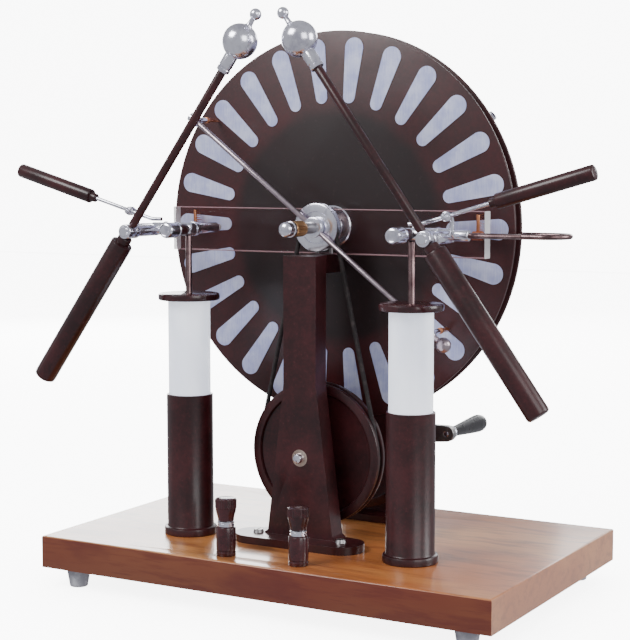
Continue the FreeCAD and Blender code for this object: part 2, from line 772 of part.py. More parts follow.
def large_pulley():
    half = BIG_PULLEY_THICK / 2
    web = half - BIG_WEB_RECESS
    groove_r = BIG_GROOVE_R - BELT_R
    profile = [
        (SHAFT_R, -half),
        (BIG_BOSS_R, -half),
        (BIG_BOSS_R, -web),
        (BIG_RIM_IN_R, -web),
        (BIG_RIM_IN_R, -half),
        (BIG_PULLEY_R, -half),
        (BIG_PULLEY_R, -BELT_R - CHAMFER),
        (BIG_GROOVE_R, -BELT_R),
        (groove_r, -BELT_R),
        (groove_r, BELT_R),
        (BIG_GROOVE_R, BELT_R),
        (BIG_PULLEY_R, BELT_R + CHAMFER),
        (BIG_PULLEY_R, half),
        (BIG_RIM_IN_R, half),
        (BIG_RIM_IN_R, web),
        (BIG_BOSS_R, web),
        (BIG_BOSS_R, half),
        (SHAFT_R, half),
    ]
    return turned(profile, V(0, -BELT_PLANE, DRIVE_Z), Y_AXIS)


def shaft_collar(y_from, y_to):
    outer = rod_y(SPACER_COLLAR_R, y_from, y_to, 0, DRIVE_Z)
    return outer.cut(rod_y(SHAFT_R, y_from, y_to, 0, DRIVE_Z))


def shaft_collars():
    pulley_face = BELT_PLANE + BIG_PULLEY_THICK / 2
    front_stop = COLUMN_FRONT_NEAR - BUSH_FLANGE - PULLEY_COLLAR_GAP
    rear_stop = COLUMN_REAR_NEAR - PULLEY_COLLAR_GAP
    front = shaft_collar(-front_stop, -pulley_face)
    rear = shaft_collar(pulley_face, rear_stop)
    crank_side = COLUMN_REAR_FAR + BUSH_FLANGE + PULLEY_COLLAR_GAP
    outer = shaft_collar(crank_side, CRANK_ARM_FRONT)
    return [front, rear, outer]


def crank_end():
    angle = math.radians(CRANK_REST_ANGLE)
    return V(CRANK_RADIUS * math.cos(angle), 0, DRIVE_Z + CRANK_RADIUS * math.sin(angle))


def crank_arm():
    lean = math.asin((CRANK_HUB_R - CRANK_EYE_R) / CRANK_RADIUS)
    side = math.pi / 2 - lean
    hub_top = V(CRANK_HUB_R * math.cos(side), 0, CRANK_HUB_R * math.sin(side))
    hub_low = V(hub_top.x, 0, -hub_top.z)
    eye_top = V(CRANK_RADIUS + CRANK_EYE_R * math.cos(side), 0, CRANK_EYE_R * math.sin(side))
    eye_low = V(eye_top.x, 0, -eye_top.z)
    edges = [
        Part.Arc(hub_low, V(-CRANK_HUB_R, 0, 0), hub_top).toShape(),
        Part.LineSegment(hub_top, eye_top).toShape(),
        Part.Arc(eye_top, V(CRANK_RADIUS + CRANK_EYE_R, 0, 0), eye_low).toShape(),
        Part.LineSegment(eye_low, hub_low).toShape(),
    ]
    arm = slab_xz(Part.Wire(edges), CRANK_ARM_FRONT, CRANK_ARM_BACK)
    arm = arm.cut(rod_y(SHAFT_R, CRANK_ARM_FRONT, CRANK_ARM_BACK, 0, 0))
    arm = arm.cut(rod_y(CRANK_PIN_R, CRANK_ARM_FRONT, CRANK_ARM_BACK, CRANK_RADIUS, 0))
    arm.rotate(V(0, 0, 0), Y_AXIS, -CRANK_REST_ANGLE)
    arm.translate(V(0, 0, DRIVE_Z))
    return arm


def crank_pin():
    place = crank_end()
    head_at = GRIP_STOP + FACE_GAP
    shank = rod_y(CRANK_PIN_R, CRANK_ARM_FRONT, head_at, place.x, place.z)
    head = rod_y(PIN_HEAD_R, head_at, head_at + PIN_HEAD, place.x, place.z)
    return shank.fuse(head).removeSplitter()


def crank_collar():
    place = crank_end()
    length = CRANK_COLLAR - FACE_GAP
    mid = (CRANK_COLLAR_R + CRANK_COLLAR_NECK_R) / 2
    profile = [
        (CRANK_PIN_R, 0),
        (CRANK_COLLAR_NECK_R, 0),
        (mid + CHAMFER, length / 8),
        (CRANK_COLLAR_R, length * 3 / 8),
        (CRANK_COLLAR_R, length * 5 / 8),
        (mid + CHAMFER, length * 7 / 8),
        (CRANK_COLLAR_NECK_R, length),
        (CRANK_PIN_R, length),
    ]
    return turned(profile, V(place.x, CRANK_ARM_BACK, place.z), Y_AXIS)


def crank_grip():
    place = crank_end()
    bore = CRANK_PIN_R + RUNNING_FIT
    profile = [
        (bore, 0),
        (GRIP_SMALL_R, 0),
        (GRIP_SMALL_R, CHAMFER),
        (GRIP_LARGE_R - CHAMFER, GRIP_LENGTH - GRIP_BELLY),
        (GRIP_LARGE_R, GRIP_LENGTH - GRIP_END),
        (GRIP_END_R, GRIP_LENGTH),
        (bore, GRIP_LENGTH),
    ]
    return turned(profile, V(place.x, GRIP_START, place.z), Y_AXIS)


def shaft_nut():
    start = V(0, CRANK_ARM_BACK, DRIVE_Z)
    return nut(SHAFT_NUT_R, SHAFT_NUT, start, Y_AXIS, SHAFT_R)


# Neutraliser in front, along X through the axis before it is turned
def neutral_hub():
    start = V(0, -HUB_NUT_IN, AXIS_Z)
    hub = nut(NEUTRAL_HUB_R, NEUTRAL_HUB_THICK, start, -Y_AXIS, AXLE_R + RUNNING_FIT)
    return hub.cut(neutral_bar())


def neutral_bar():
    left = V(-(NEUTRAL_UPPER_R - HOLDER_COLLAR_R), -NEUTRAL_PLANE, AXIS_Z)
    right = V(NEUTRAL_LOWER_R + HOLDER_COLLAR_R + NEUTRAL_BALL_R, -NEUTRAL_PLANE, AXIS_Z)
    return rod(left, right, NEUTRAL_ROD_R)


def neutral_rod():
    bar = neutral_bar()
    ball_at = V(NEUTRAL_LOWER_R + HOLDER_COLLAR_R + NEUTRAL_BALL_R, -NEUTRAL_PLANE, AXIS_Z)
    ball = Part.makeSphere(NEUTRAL_BALL_R, ball_at, X_AXIS)
    return bar.fuse(ball).cut(neutral_passage())


def neutral_passage():
    return rod_y(AXLE_R + RUNNING_FIT, -HUB_NUT_OUT, -HUB_NUT_IN)


def holder_reach():
    return NEUTRAL_PLANE - HOLDER_REACH


def neutral_holder(x):
    """Collar on the rod with a peg that points at the disc."""
    start = V(x - HOLDER_COLLAR / 2, -NEUTRAL_PLANE, AXIS_Z)
    collar = Part.makeCylinder(HOLDER_COLLAR_R, HOLDER_COLLAR, start, X_AXIS)
    peg = rod_y(HOLDER_R, -NEUTRAL_PLANE, -holder_reach(), x, AXIS_Z)
    return collar.fuse(peg).cut(neutral_bar())


def neutral_holders():
    left = neutral_holder(-NEUTRAL_UPPER_R + HOLDER_COLLAR / 2)
    right = neutral_holder(NEUTRAL_LOWER_R - HOLDER_COLLAR / 2)
    return Part.makeCompound([left, right])


def neutral_brush(x):
    """Flat tuft of wires that widens toward the disc."""
    tip = -(DISC_OUT + SECTOR_THICK + FACE_GAP)
    root = -holder_reach()
    half = HOLDER_R
    points = [V(-half, root, 0), V(half, root, 0), V(BRUSH_HALF, tip, 0), V(-BRUSH_HALF, tip, 0)]
    face = Part.Face(Part.makePolygon(points + points[:1]))
    tuft = face.extrude(V(0, 0, BRUSH_THICK))
    tuft.translate(V(x, 0, AXIS_Z - BRUSH_THICK / 2))
    return tuft


def neutral_brushes():
    left = neutral_brush(-NEUTRAL_UPPER_R + HOLDER_COLLAR / 2)
    right = neutral_brush(NEUTRAL_LOWER_R - HOLDER_COLLAR / 2)
    return Part.makeCompound([left, right])


# Jars
def jar_cup():
    profile = [
        (0, 0),
        (JAR_FLANGE_R, 0),
        (JAR_FLANGE_R, JAR_FLANGE - CHAMFER),
        (JAR_FLANGE_R - CHAMFER, JAR_FLANGE),
        (JAR_CUP_R, JAR_FLANGE),
        (JAR_CUP_R, JAR_CUP_HEIGHT),
        (JAR_TUBE_R, JAR_CUP_HEIGHT),
        (JAR_TUBE_R, JAR_FLOOR),
        (0, JAR_FLOOR),
    ]
    return turned(profile, V(JAR_X, -JAR_Y, BOARD_TOP), Z_AXIS)


def jar_tube():
    bore = JAR_TUBE_R - JAR_TUBE_WALL
    profile = [
        (0, JAR_FLOOR),
        (JAR_TUBE_R, JAR_FLOOR),
        (JAR_TUBE_R, JAR_TUBE_TOP),
        (bore, JAR_TUBE_TOP),
        (bore, 2 * JAR_FLOOR),
        (0, 2 * JAR_FLOOR),
    ]
    return turned(profile, V(JAR_X, -JAR_Y, BOARD_TOP), Z_AXIS)


def jar_liner():
    outer = JAR_TUBE_R - JAR_TUBE_WALL
    floor = 2 * JAR_FLOOR
    profile = [
        (0, floor),
        (outer, floor),
        (outer, floor + JAR_LINER_HEIGHT),
        (outer - JAR_LINER_WALL, floor + JAR_LINER_HEIGHT),
        (outer - JAR_LINER_WALL, floor + JAR_LINER_WALL),
        (0, floor + JAR_LINER_WALL),
    ]
    return turned(profile, V(JAR_X, -JAR_Y, BOARD_TOP), Z_AXIS)


def jar_lid():
    plug = JAR_TUBE_R - JAR_TUBE_WALL
    profile = [
        (JAR_ROD_R, -JAR_LID_PLUG),
        (plug, -JAR_LID_PLUG),
        (plug, 0),
        (JAR_LID_R - CHAMFER, 0),
        (JAR_LID_R, CHAMFER),
        (JAR_LID_R, JAR_LID - CHAMFER),
        (JAR_LID_R - CHAMFER, JAR_LID),
        (JAR_ROD_R, JAR_LID),
    ]
    return turned(profile, V(JAR_X, -JAR_Y, JAR_TOP), Z_AXIS)


def jar_rod():
    bottom = BOARD_TOP + 2 * JAR_FLOOR + JAR_LINER_WALL
    top = TERMINAL_Z - CONDUCTOR_R
    return rod(V(JAR_X, -JAR_Y, bottom), V(JAR_X, -JAR_Y, top), JAR_ROD_R)


# Conductors, knobs and pivot posts
def conductor():
    knob_back = KNOB_FRONT - KNOB_LENGTH
    front_rod = rod_y(STUD_THREAD_R, -knob_back, -JAR_Y, JAR_X, TERMINAL_Z)
    back_rod = rod_y(BAR_STUD_R, -JAR_Y, -BAR_FAR, JAR_X, TERMINAL_Z)
    stud = rod_y(STUD_THREAD_R, -BAR_FAR, STUD_BITE - BAR_FAR, JAR_X, TERMINAL_Z)
    collar = rod_y(COLLAR_R, -COLLAR_BACK - COLLAR_LENGTH, -COLLAR_BACK, JAR_X, TERMINAL_Z)
    inner = V(JAR_X - CONDUCTOR_R, -JAR_Y, TERMINAL_Z)
    cross = rod(inner, V(CONDUCTOR_END, -JAR_Y, TERMINAL_Z), CONDUCTOR_R)
    tip = rod(V(CONDUCTOR_END, -JAR_Y, TERMINAL_Z), V(TIP_END, -JAR_Y, TERMINAL_Z), TIP_R)
    body = cross.fuse([tip, front_rod, back_rod, stud, collar])
    post_bore = rod_y(POST_R, -JAR_Y - CONDUCTOR_R, -JAR_Y, POST_X, PIVOT_Z)
    stand_bore = rod_y(LEVER_STAND_R, -JAR_Y - CONDUCTOR_R, -JAR_Y, LEVER_HINGE_X, TERMINAL_Z)
    return body.cut(post_bore).cut(stand_bore).cut(collector_bore())


def collector_bore():
    start = V(TIP_END - TIP_R, -JAR_Y, TERMINAL_Z)
    return rod(start, V(TIP_END, -JAR_Y, TERMINAL_Z), COLLECTOR_R)


def terminal_knob():
    start = V(JAR_X, -(KNOB_FRONT - KNOB_LENGTH), TERMINAL_Z)
    return chamfered(KNOB_R, KNOB_LENGTH, CHAMFER, start, -Y_AXIS)


def terminal_sleeve():
    knob_back = KNOB_FRONT - KNOB_LENGTH
    y_to = -JAR_Y - CONDUCTOR_R
    outer = rod_y(TERMINAL_SLEEVE_R, -knob_back, y_to, JAR_X, TERMINAL_Z)
    return outer.cut(rod_y(STUD_THREAD_R, -knob_back, y_to, JAR_X, TERMINAL_Z))


def pivot_post():
    seat = CLAMP_BACK - FACE_GAP
    post = rod_y(POST_R, -seat, -JAR_Y, POST_X, PIVOT_Z)
    pin = rod_y(PIVOT_PIN_R, -CLAMP_BACK - PIVOT_PIN_BITE, -seat, POST_X, PIVOT_Z)
    return post.fuse(pin)


# Collectors
def collector_strut():
    points = [
        V(TIP_END - TIP_R, -JAR_Y, TERMINAL_Z),
        V(TIP_END + TIP_R, -JAR_Y, TERMINAL_Z),
        V(STRUT_X, -COLLECTOR_LEG_Y, COLLECTOR_Z),
    ]
    return bent_rod(points, COLLECTOR_R, 2 * COLLECTOR_R)


def collector():
    near = V(COLLECTOR_IN_X, -COLLECTOR_LEG_Y, COLLECTOR_Z)
    near_bend = V(COLLECTOR_BEND_X, -COLLECTOR_LEG_Y, COLLECTOR_Z)
    far_bend = V(COLLECTOR_BEND_X, COLLECTOR_LEG_Y, COLLECTOR_Z)
    far = V(COLLECTOR_IN_X, COLLECTOR_LEG_Y, COLLECTOR_Z)
    crest = V(COLLECTOR_BEND_X + COLLECTOR_LEG_Y, 0, COLLECTOR_Z)
    path = Part.Wire([
        Part.LineSegment(near, near_bend).toShape(),
        Part.Arc(near_bend, crest, far_bend).toShape(),
        Part.LineSegment(far_bend, far).toShape(),
    ])
    return piped(path, COLLECTOR_R).fuse(collector_strut())


def comb():
    """Clip on the leg with a row of points toward the disc."""
    clip_from = V(COMB_X - COMB_CLIP_HALF, -COLLECTOR_LEG_Y, COLLECTOR_Z)
    clip_to = V(COMB_X + COMB_CLIP_HALF, -COLLECTOR_LEG_Y, COLLECTOR_Z)
    clip = rod(clip_from, clip_to, COMB_CLIP_R)
    top = AXIS_Z + COMB_TOP_ABOVE_AXIS
    back = -COLLECTOR_LEG_Y
    tip = -(DISC_OUT + SECTOR_THICK + COMB_CLEARANCE)
    root = tip - COMB_TOOTH
    pitch = (top - COLLECTOR_Z) / COMB_TEETH
    points = [V(0, back, COLLECTOR_Z), V(0, root, COLLECTOR_Z)]
    for k in range(COMB_TEETH):
        low = COLLECTOR_Z + pitch * k
        points.append(V(0, tip, low + pitch / 2))
        points.append(V(0, root, low + pitch))
    points.append(V(0, back, top))
    face = Part.Face(Part.makePolygon(points + points[:1]))
    plate = face.extrude(V(2 * COMB_HALF, 0, 0))
    plate.translate(V(COMB_X - COMB_HALF, 0, 0))
    return clip.fuse(plate).cut(rod(clip_from, clip_to, COLLECTOR_R))


# Electrodes, drawn upright and then leaned about the pivot
def leaned(shape):
    shape.rotate(V(POST_X, 0, PIVOT_Z), Y_AXIS, ELECTRODE_ANGLE - 90)
    return shape


def electrode_point(distance):
    return V(POST_X, -ELECTRODE_PLANE, PIVOT_Z + distance)


def electrode_core(radius, start, end):
    return rod(electrode_point(start), electrode_point(end), radius)


def electrode_clamp():
    start = V(POST_X, -CLAMP_BACK, PIVOT_Z)
    clamp = chamfered(CLAMP_R, CLAMP_LENGTH, CHAMFER, start, -Y_AXIS)
    pin_end = CLAMP_BACK + PIVOT_PIN_BITE + FACE_GAP
    clamp = clamp.cut(rod_y(PIVOT_PIN_R + RUNNING_FIT, -pin_end, -CLAMP_BACK, POST_X, PIVOT_Z))
    return leaned(clamp.cut(electrode_core(ELECTRODE_ROD_R, -CLAMP_R, CLAMP_R)))


def electrode_rod():
    stem = electrode_core(ELECTRODE_ROD_R, -HANDLE_END + HANDLE_NECK, SMALL_BALL_AT)
    big = Part.makeSphere(BIG_BALL_R, electrode_point(BIG_BALL_AT))
    small = Part.makeSphere(SMALL_BALL_R, electrode_point(SMALL_BALL_AT))
    ferrule_end = BIG_BALL_AT - BIG_BALL_R + 2 * CHAMFER
    ferrule = electrode_core(FERRULE_R, ferrule_end - FERRULE_LENGTH, ferrule_end)
    return leaned(stem.fuse([big, small, ferrule]))


def electrode_sleeve():
    end = BIG_BALL_AT - BIG_BALL_R + 2 * CHAMFER - FERRULE_LENGTH
    outer = electrode_core(ELECTRODE_SLEEVE_R, CLAMP_R, end)
    return leaned(outer.cut(electrode_core(ELECTRODE_ROD_R, CLAMP_R, end)))


def electrode_handle():
    profile = [
        (ELECTRODE_ROD_R, CLAMP_R),
        (HANDLE_NECK_R, CLAMP_R),
        (HANDLE_NECK_R, HANDLE_START),
        (HANDLE_R - CHAMFER, HANDLE_START),
        (HANDLE_R, HANDLE_START + CHAMFER),
        (HANDLE_R, HANDLE_END - CHAMFER),
        (HANDLE_R - CHAMFER, HANDLE_END),
        (0, HANDLE_END),
        (0, HANDLE_END - HANDLE_NECK),
        (ELECTRODE_ROD_R, HANDLE_END - HANDLE_NECK),
    ]
    return leaned(turned(profile, electrode_point(0), -Z_AXIS))


# Side levers
def lever_stand():
    foot = V(LEVER_HINGE_X, -JAR_Y, TERMINAL_Z)
    knee = V(LEVER_HINGE_X, -LEVER_STAND_BACK, TERMINAL_Z)
    head = V(LEVER_HINGE_X, -LEVER_STAND_BACK, LEVER_Z)
    stop = V(LEVER_HINGE_X, -(LEVER_PLANE - LEVER_EYE_HALF - FACE_GAP), LEVER_Z)
    stand = bent_rod([foot, knee, head, stop], LEVER_STAND_R, LEVER_STAND_BEND_R)
    pin = rod_y(LEVER_PIN_R, -LEVER_PIN_FRONT, stop.y, LEVER_HINGE_X, LEVER_Z)
    return stand.fuse(pin)


def lever_nut():
    start = V(LEVER_HINGE_X, -(LEVER_PLANE + LEVER_EYE_HALF + FACE_GAP), LEVER_Z)
    return nut(LEVER_NUT_R, LEVER_NUT, start, -Y_AXIS, LEVER_PIN_R)


def lever_direction():
    slope = math.radians(LEVER_SLOPE)
    return V(math.cos(slope), 0, math.sin(slope))


def lever_point(distance):
    return V(LEVER_HINGE_X, -LEVER_PLANE, LEVER_Z) + lever_direction() * distance


def lever_rod():
    slope = math.radians(LEVER_SLOPE)
    flat_distance = (LEVER_FLAT_X - LEVER_HINGE_X) / math.cos(slope)
    corner = lever_point(flat_distance)
    tip = V(LEVER_TIP_X, corner.y, corner.z)
    points = [tip, corner, lever_point(LEVER_GRIP_END - LEVER_COLLAR)]
    stem = bent_rod(points, LEVER_R, LEVER_BEND_R)
    eye = rod_y(LEVER_EYE_R, -LEVER_PLANE - LEVER_EYE_HALF, -LEVER_PLANE + LEVER_EYE_HALF,
                LEVER_HINGE_X, LEVER_Z)
    bore = rod_y(LEVER_PIN_R + RUNNING_FIT, -LEVER_PLANE - LEVER_EYE_R,
                 -LEVER_PLANE + LEVER_EYE_R, LEVER_HINGE_X, LEVER_Z)
    return stem.fuse(eye).cut(bore)


def lever_grip():
    length = LEVER_GRIP_END - LEVER_GRIP_START
    profile = [
        (LEVER_R, 0),
        (LEVER_COLLAR_R, 0),
        (LEVER_COLLAR_R, LEVER_COLLAR),
        (LEVER_GRIP_R - CHAMFER, LEVER_COLLAR),
        (LEVER_GRIP_R, LEVER_COLLAR + CHAMFER),
        (LEVER_GRIP_R, length - CHAMFER),
        (LEVER_GRIP_R - CHAMFER, length),
        (0, length),
        (0, length - LEVER_COLLAR),
        (LEVER_R, length - LEVER_COLLAR),
    ]
    return turned(profile, lever_point(LEVER_GRIP_START), lever_direction())


# Binding posts
def binding_body():
    place = V(BINDING_X, -BINDING_Y, BOARD_TOP)
    body = chamfered(BINDING_BODY_R, BINDING_BODY, CHAMFER, place, Z_AXIS)
    return body.cut(rod(place, place + Z_AXIS * BINDING_BODY, BINDING_STUD_R))


def binding_stud():
    low = V(BINDING_X, -BINDING_Y, BOARD_TOP - BINDING_RING)
    ring_low = V(BINDING_X, -BINDING_Y, BOARD_TOP + BINDING_BODY)
    ring = Part.makeCylinder(BINDING_RING_R, BINDING_RING, ring_low)
    stud_top = ring_low + Z_AXIS * (BINDING_RING + FACE_GAP + BINDING_KNOB / 2)
    return ring.fuse(rod(low, stud_top, BINDING_STUD_R))


def binding_knob():
    bore = BINDING_STUD_R + RUNNING_FIT
    floor = V(BINDING_X, -BINDING_Y, BOARD_TOP + BINDING_BODY + BINDING_RING + FACE_GAP)
    profile = [
        (bore, 0),
        (BINDING_KNOB_WAIST_R, 0),
        (BINDING_KNOB_WAIST_R, BINDING_KNOB - 2 * BINDING_KNOB_BAND),
        (BINDING_KNOB_R, BINDING_KNOB - BINDING_KNOB_BAND),
        (BINDING_KNOB_R, BINDING_KNOB - CHAMFER),
        (BINDING_KNOB_R - CHAMFER, BINDING_KNOB),
        (0, BINDING_KNOB),
        (0, BINDING_KNOB / 2 + FACE_GAP),
        (bore, BINDING_KNOB / 2 + FACE_GAP),
    ]
    return turned(profile, floor, Z_AXIS)


# Everything is written out here
def write_frame():
    save("base_board", base_board())
    save("rubber_feet", Part.makeCompound([rubber_foot(place) for place in foot_places()]))
    save("front_upright", front_upright())
    save("rear_upright", rear_upright())
    screws = [upright_screw(x, y) for x, y in upright_screw_places()]
    screws += [bar_screw(x) for x in (-BAR_SCREW_X, BAR_SCREW_X)]
    screws += [foot_screw(place) for place in foot_places()]
    save("frame_screws", Part.makeCompound(screws))
    front_bush = shaft_bush(-COLUMN_FRONT_FAR, -COLUMN_FRONT_NEAR)
    rear_bush = shaft_bush(COLUMN_REAR_NEAR, COLUMN_REAR_FAR)
    save("bushes", Part.makeCompound([front_bush, rear_bush, bar_bush()]))
    save("cross_bar", cross_bar())


def write_axle():
    save("axle", axle())
    sleeve_end = HUB_NUT_OUT + FACE_GAP
    front_sleeve = sleeve_on_axle(FRONT_SLEEVE_R, -HUB_NUT_OUT - FRONT_SLEEVE_LENGTH, -sleeve_end)
    rear_sleeve = sleeve_on_axle(REAR_SLEEVE_R, sleeve_end, COLUMN_REAR_NEAR)
    save("axle_sleeves", Part.makeCompound([front_sleeve, rear_sleeve, disc_spacer()]))
    save("brass_nuts", Part.makeCompound([front_brass_nut(), rear_brass_nut()]))
    front_cap = cap_nut(V(0, -brass_nut_front() - NUT_SEAT, AXIS_Z), -Y_AXIS)
    rear_cap = cap_nut(V(0, COLUMN_REAR_FAR + REAR_NUT_LENGTH, AXIS_Z), Y_AXIS)
    save("cap_nuts", Part.makeCompound([front_cap, rear_cap]))


def write_discs():
    pieces = {
        "plate": disc_plate(),
        "sectors": disc_sectors(),
        "hub": disc_hub(),
    }
    for name, shape in pieces.items():
        save("front_disc_" + name, shape)
        save("rear_disc_" + name, to_rear(shape))
    save("front_belt", open_belt(-BELT_PLANE))
    save("rear_belt", crossed_belt(BELT_PLANE))


def write_drive():
    save("drive_shaft", drive_shaft())
    save("front_drive_pulley", large_pulley())
    save("rear_drive_pulley", to_rear(large_pulley()))
    save("shaft_collars", Part.makeCompound(shaft_collars() + [crank_collar()]))
    save("crank_arm", crank_arm())
    save("crank_pin", Part.makeCompound([crank_pin(), shaft_nut()]))
    save("crank_grip", crank_grip())


def write_neutralisers():
    pieces = {
        "hub": neutral_hub(),
        "rod": neutral_rod(),
        "holders": neutral_holders(),
        "brushes": neutral_brushes(),
    }
    for name, shape in pieces.items():
        front = turned_about_axis(shape, NEUTRAL_ANGLE, AXIS_Z)
        rear = front.copy()
        rear.rotate(V(0, 0, AXIS_Z), Z_AXIS, 180)
        save("front_neutral_" + name, front)
        save("rear_neutral_" + name, rear)


def write_sides():
    save_twins("jar_cups", [jar_cup()])
    save_twins("jar_tubes", [jar_tube()])
    save_twins("jar_lids", [jar_lid()])
    save_twins("jar_rods", [jar_rod(), jar_liner()])
    save_twins("conductors", [conductor()])
    save_twins("terminal_knobs", [terminal_knob()])
    save_twins("terminal_sleeves", [terminal_sleeve()])
    save_pair("collector", collector().cut(conductor()))
    save_twins("combs", [comb(), to_rear(comb())])
    save_twins("pivot_posts", [pivot_post()])
    save_twins("lever_stands", [lever_stand(), lever_nut()])
    save_twins("binding_bodies", [binding_body()])
    save_twins("binding_studs", [binding_stud()])
    save_pair("binding_knob", binding_knob())
    save_pair("electrode_clamp", electrode_clamp())
    save_pair("electrode_rod", electrode_rod())
    save_pair("electrode_handle", Part.makeCompound([electrode_sleeve(), electrode_handle()]))
    save_pair("lever_rod", lever_rod())
    save_pair("lever_grip", lever_grip())


os.makedirs("parts", exist_ok=True)
write_frame()
write_axle()
write_discs()
write_drive()
write_neutralisers()
write_sides()
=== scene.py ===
import logging
import math
import random
from dataclasses import dataclass, field
from enum import Enum
from typing import Sequence, Union

import bmesh
import bpy
from mathutils import Matrix, Vector


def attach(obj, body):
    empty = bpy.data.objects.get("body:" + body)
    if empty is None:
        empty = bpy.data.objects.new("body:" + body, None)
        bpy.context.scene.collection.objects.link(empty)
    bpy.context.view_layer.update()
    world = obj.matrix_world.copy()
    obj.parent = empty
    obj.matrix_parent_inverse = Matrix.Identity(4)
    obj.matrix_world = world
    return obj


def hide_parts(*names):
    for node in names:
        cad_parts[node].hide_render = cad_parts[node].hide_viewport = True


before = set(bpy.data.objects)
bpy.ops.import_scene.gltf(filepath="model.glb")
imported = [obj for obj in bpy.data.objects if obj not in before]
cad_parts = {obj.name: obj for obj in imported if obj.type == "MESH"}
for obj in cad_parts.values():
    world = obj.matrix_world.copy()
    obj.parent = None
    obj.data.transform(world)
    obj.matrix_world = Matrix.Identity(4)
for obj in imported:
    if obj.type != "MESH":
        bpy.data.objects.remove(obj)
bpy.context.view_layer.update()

LOG = logging.getLogger("machine")

MM = 0.001
MIDDLE_Y = 4.55
AXIS_Z = 280.0
DRIVE_Z = 106.5
BOARD_TOP = 40.0
FLAT_SHARP = 25.0
ALONG_Y = Vector((0.0, 1.0, 0.0))
ALONG_Z = Vector((0.0, 0.0, 1.0))

Profile = Sequence[tuple[float, float]]
Runs = tuple[tuple[float, float, float, float], ...]


class Place(Enum):
    """Where a piece stands, with the word that its names begin with."""

    @property
    def word(self) -> str:
        """The place in small letters."""
        return self.name.lower()


class Side(Place):
    """Which side of the machine a piece stands on, seen from the front."""

    LEFT = -1
    RIGHT = 1


class Face(Place):
    """Whether a piece lies in front of the discs or behind them."""

    FRONT = -1
    REAR = 1


def spot(x: float, y: float, z: float) -> Vector:
    """A point in millimetres, measured from the plane between the discs.

    Args:
        x: To the right.
        y: To the rear.
        z: Up from the table.

    Returns:
        The point, in millimetres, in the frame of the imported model.
    """
    return Vector((x, y - MIDDLE_Y, z))


# Materials: arithmetic on node sockets, and one board of nodes for each look
class Signal:
    """One socket of a material, joined to others by ordinary arithmetic."""

    def __init__(self, board: "NodeBoard", socket: bpy.types.NodeSocket) -> None:
        """Keep the socket and the board that it is on."""
        self.board = board
        self.socket = socket

    def _join(self, operation: str, first: "Operand", second: "Operand") -> "Signal":
        """Result of a Math node on two values."""
        return self.board.add("ShaderNodeMath", {"operation": operation}, {0: first, 1: second})

    def __add__(self, other: "Operand") -> "Signal":
        """Sum."""
        return self._join("ADD", self, other)

    def __radd__(self, other: "Operand") -> "Signal":
        """Sum, with the number first."""
        return self._join("ADD", other, self)

    def __sub__(self, other: "Operand") -> "Signal":
        """Difference."""
        return self._join("SUBTRACT", self, other)

    def __rsub__(self, other: "Operand") -> "Signal":
        """Difference, with the number first."""
        return self._join("SUBTRACT", other, self)

    def __mul__(self, other: "Operand") -> "Signal":
        """Product."""
        return self._join("MULTIPLY", self, other)

    def __pow__(self, other: "Operand") -> "Signal":
        """Power."""
        return self._join("POWER", self, other)

    def between(self, low: float, high: float) -> "Signal":
        """Smooth step from 0 at low to 1 at high."""
        return self.board.add("ShaderNodeMapRange", {"interpolation_type": "SMOOTHSTEP"},
                              {0: self, 1: low, 2: high, 3: 0.0, 4: 1.0})


Operand = Union[Signal, float, tuple]


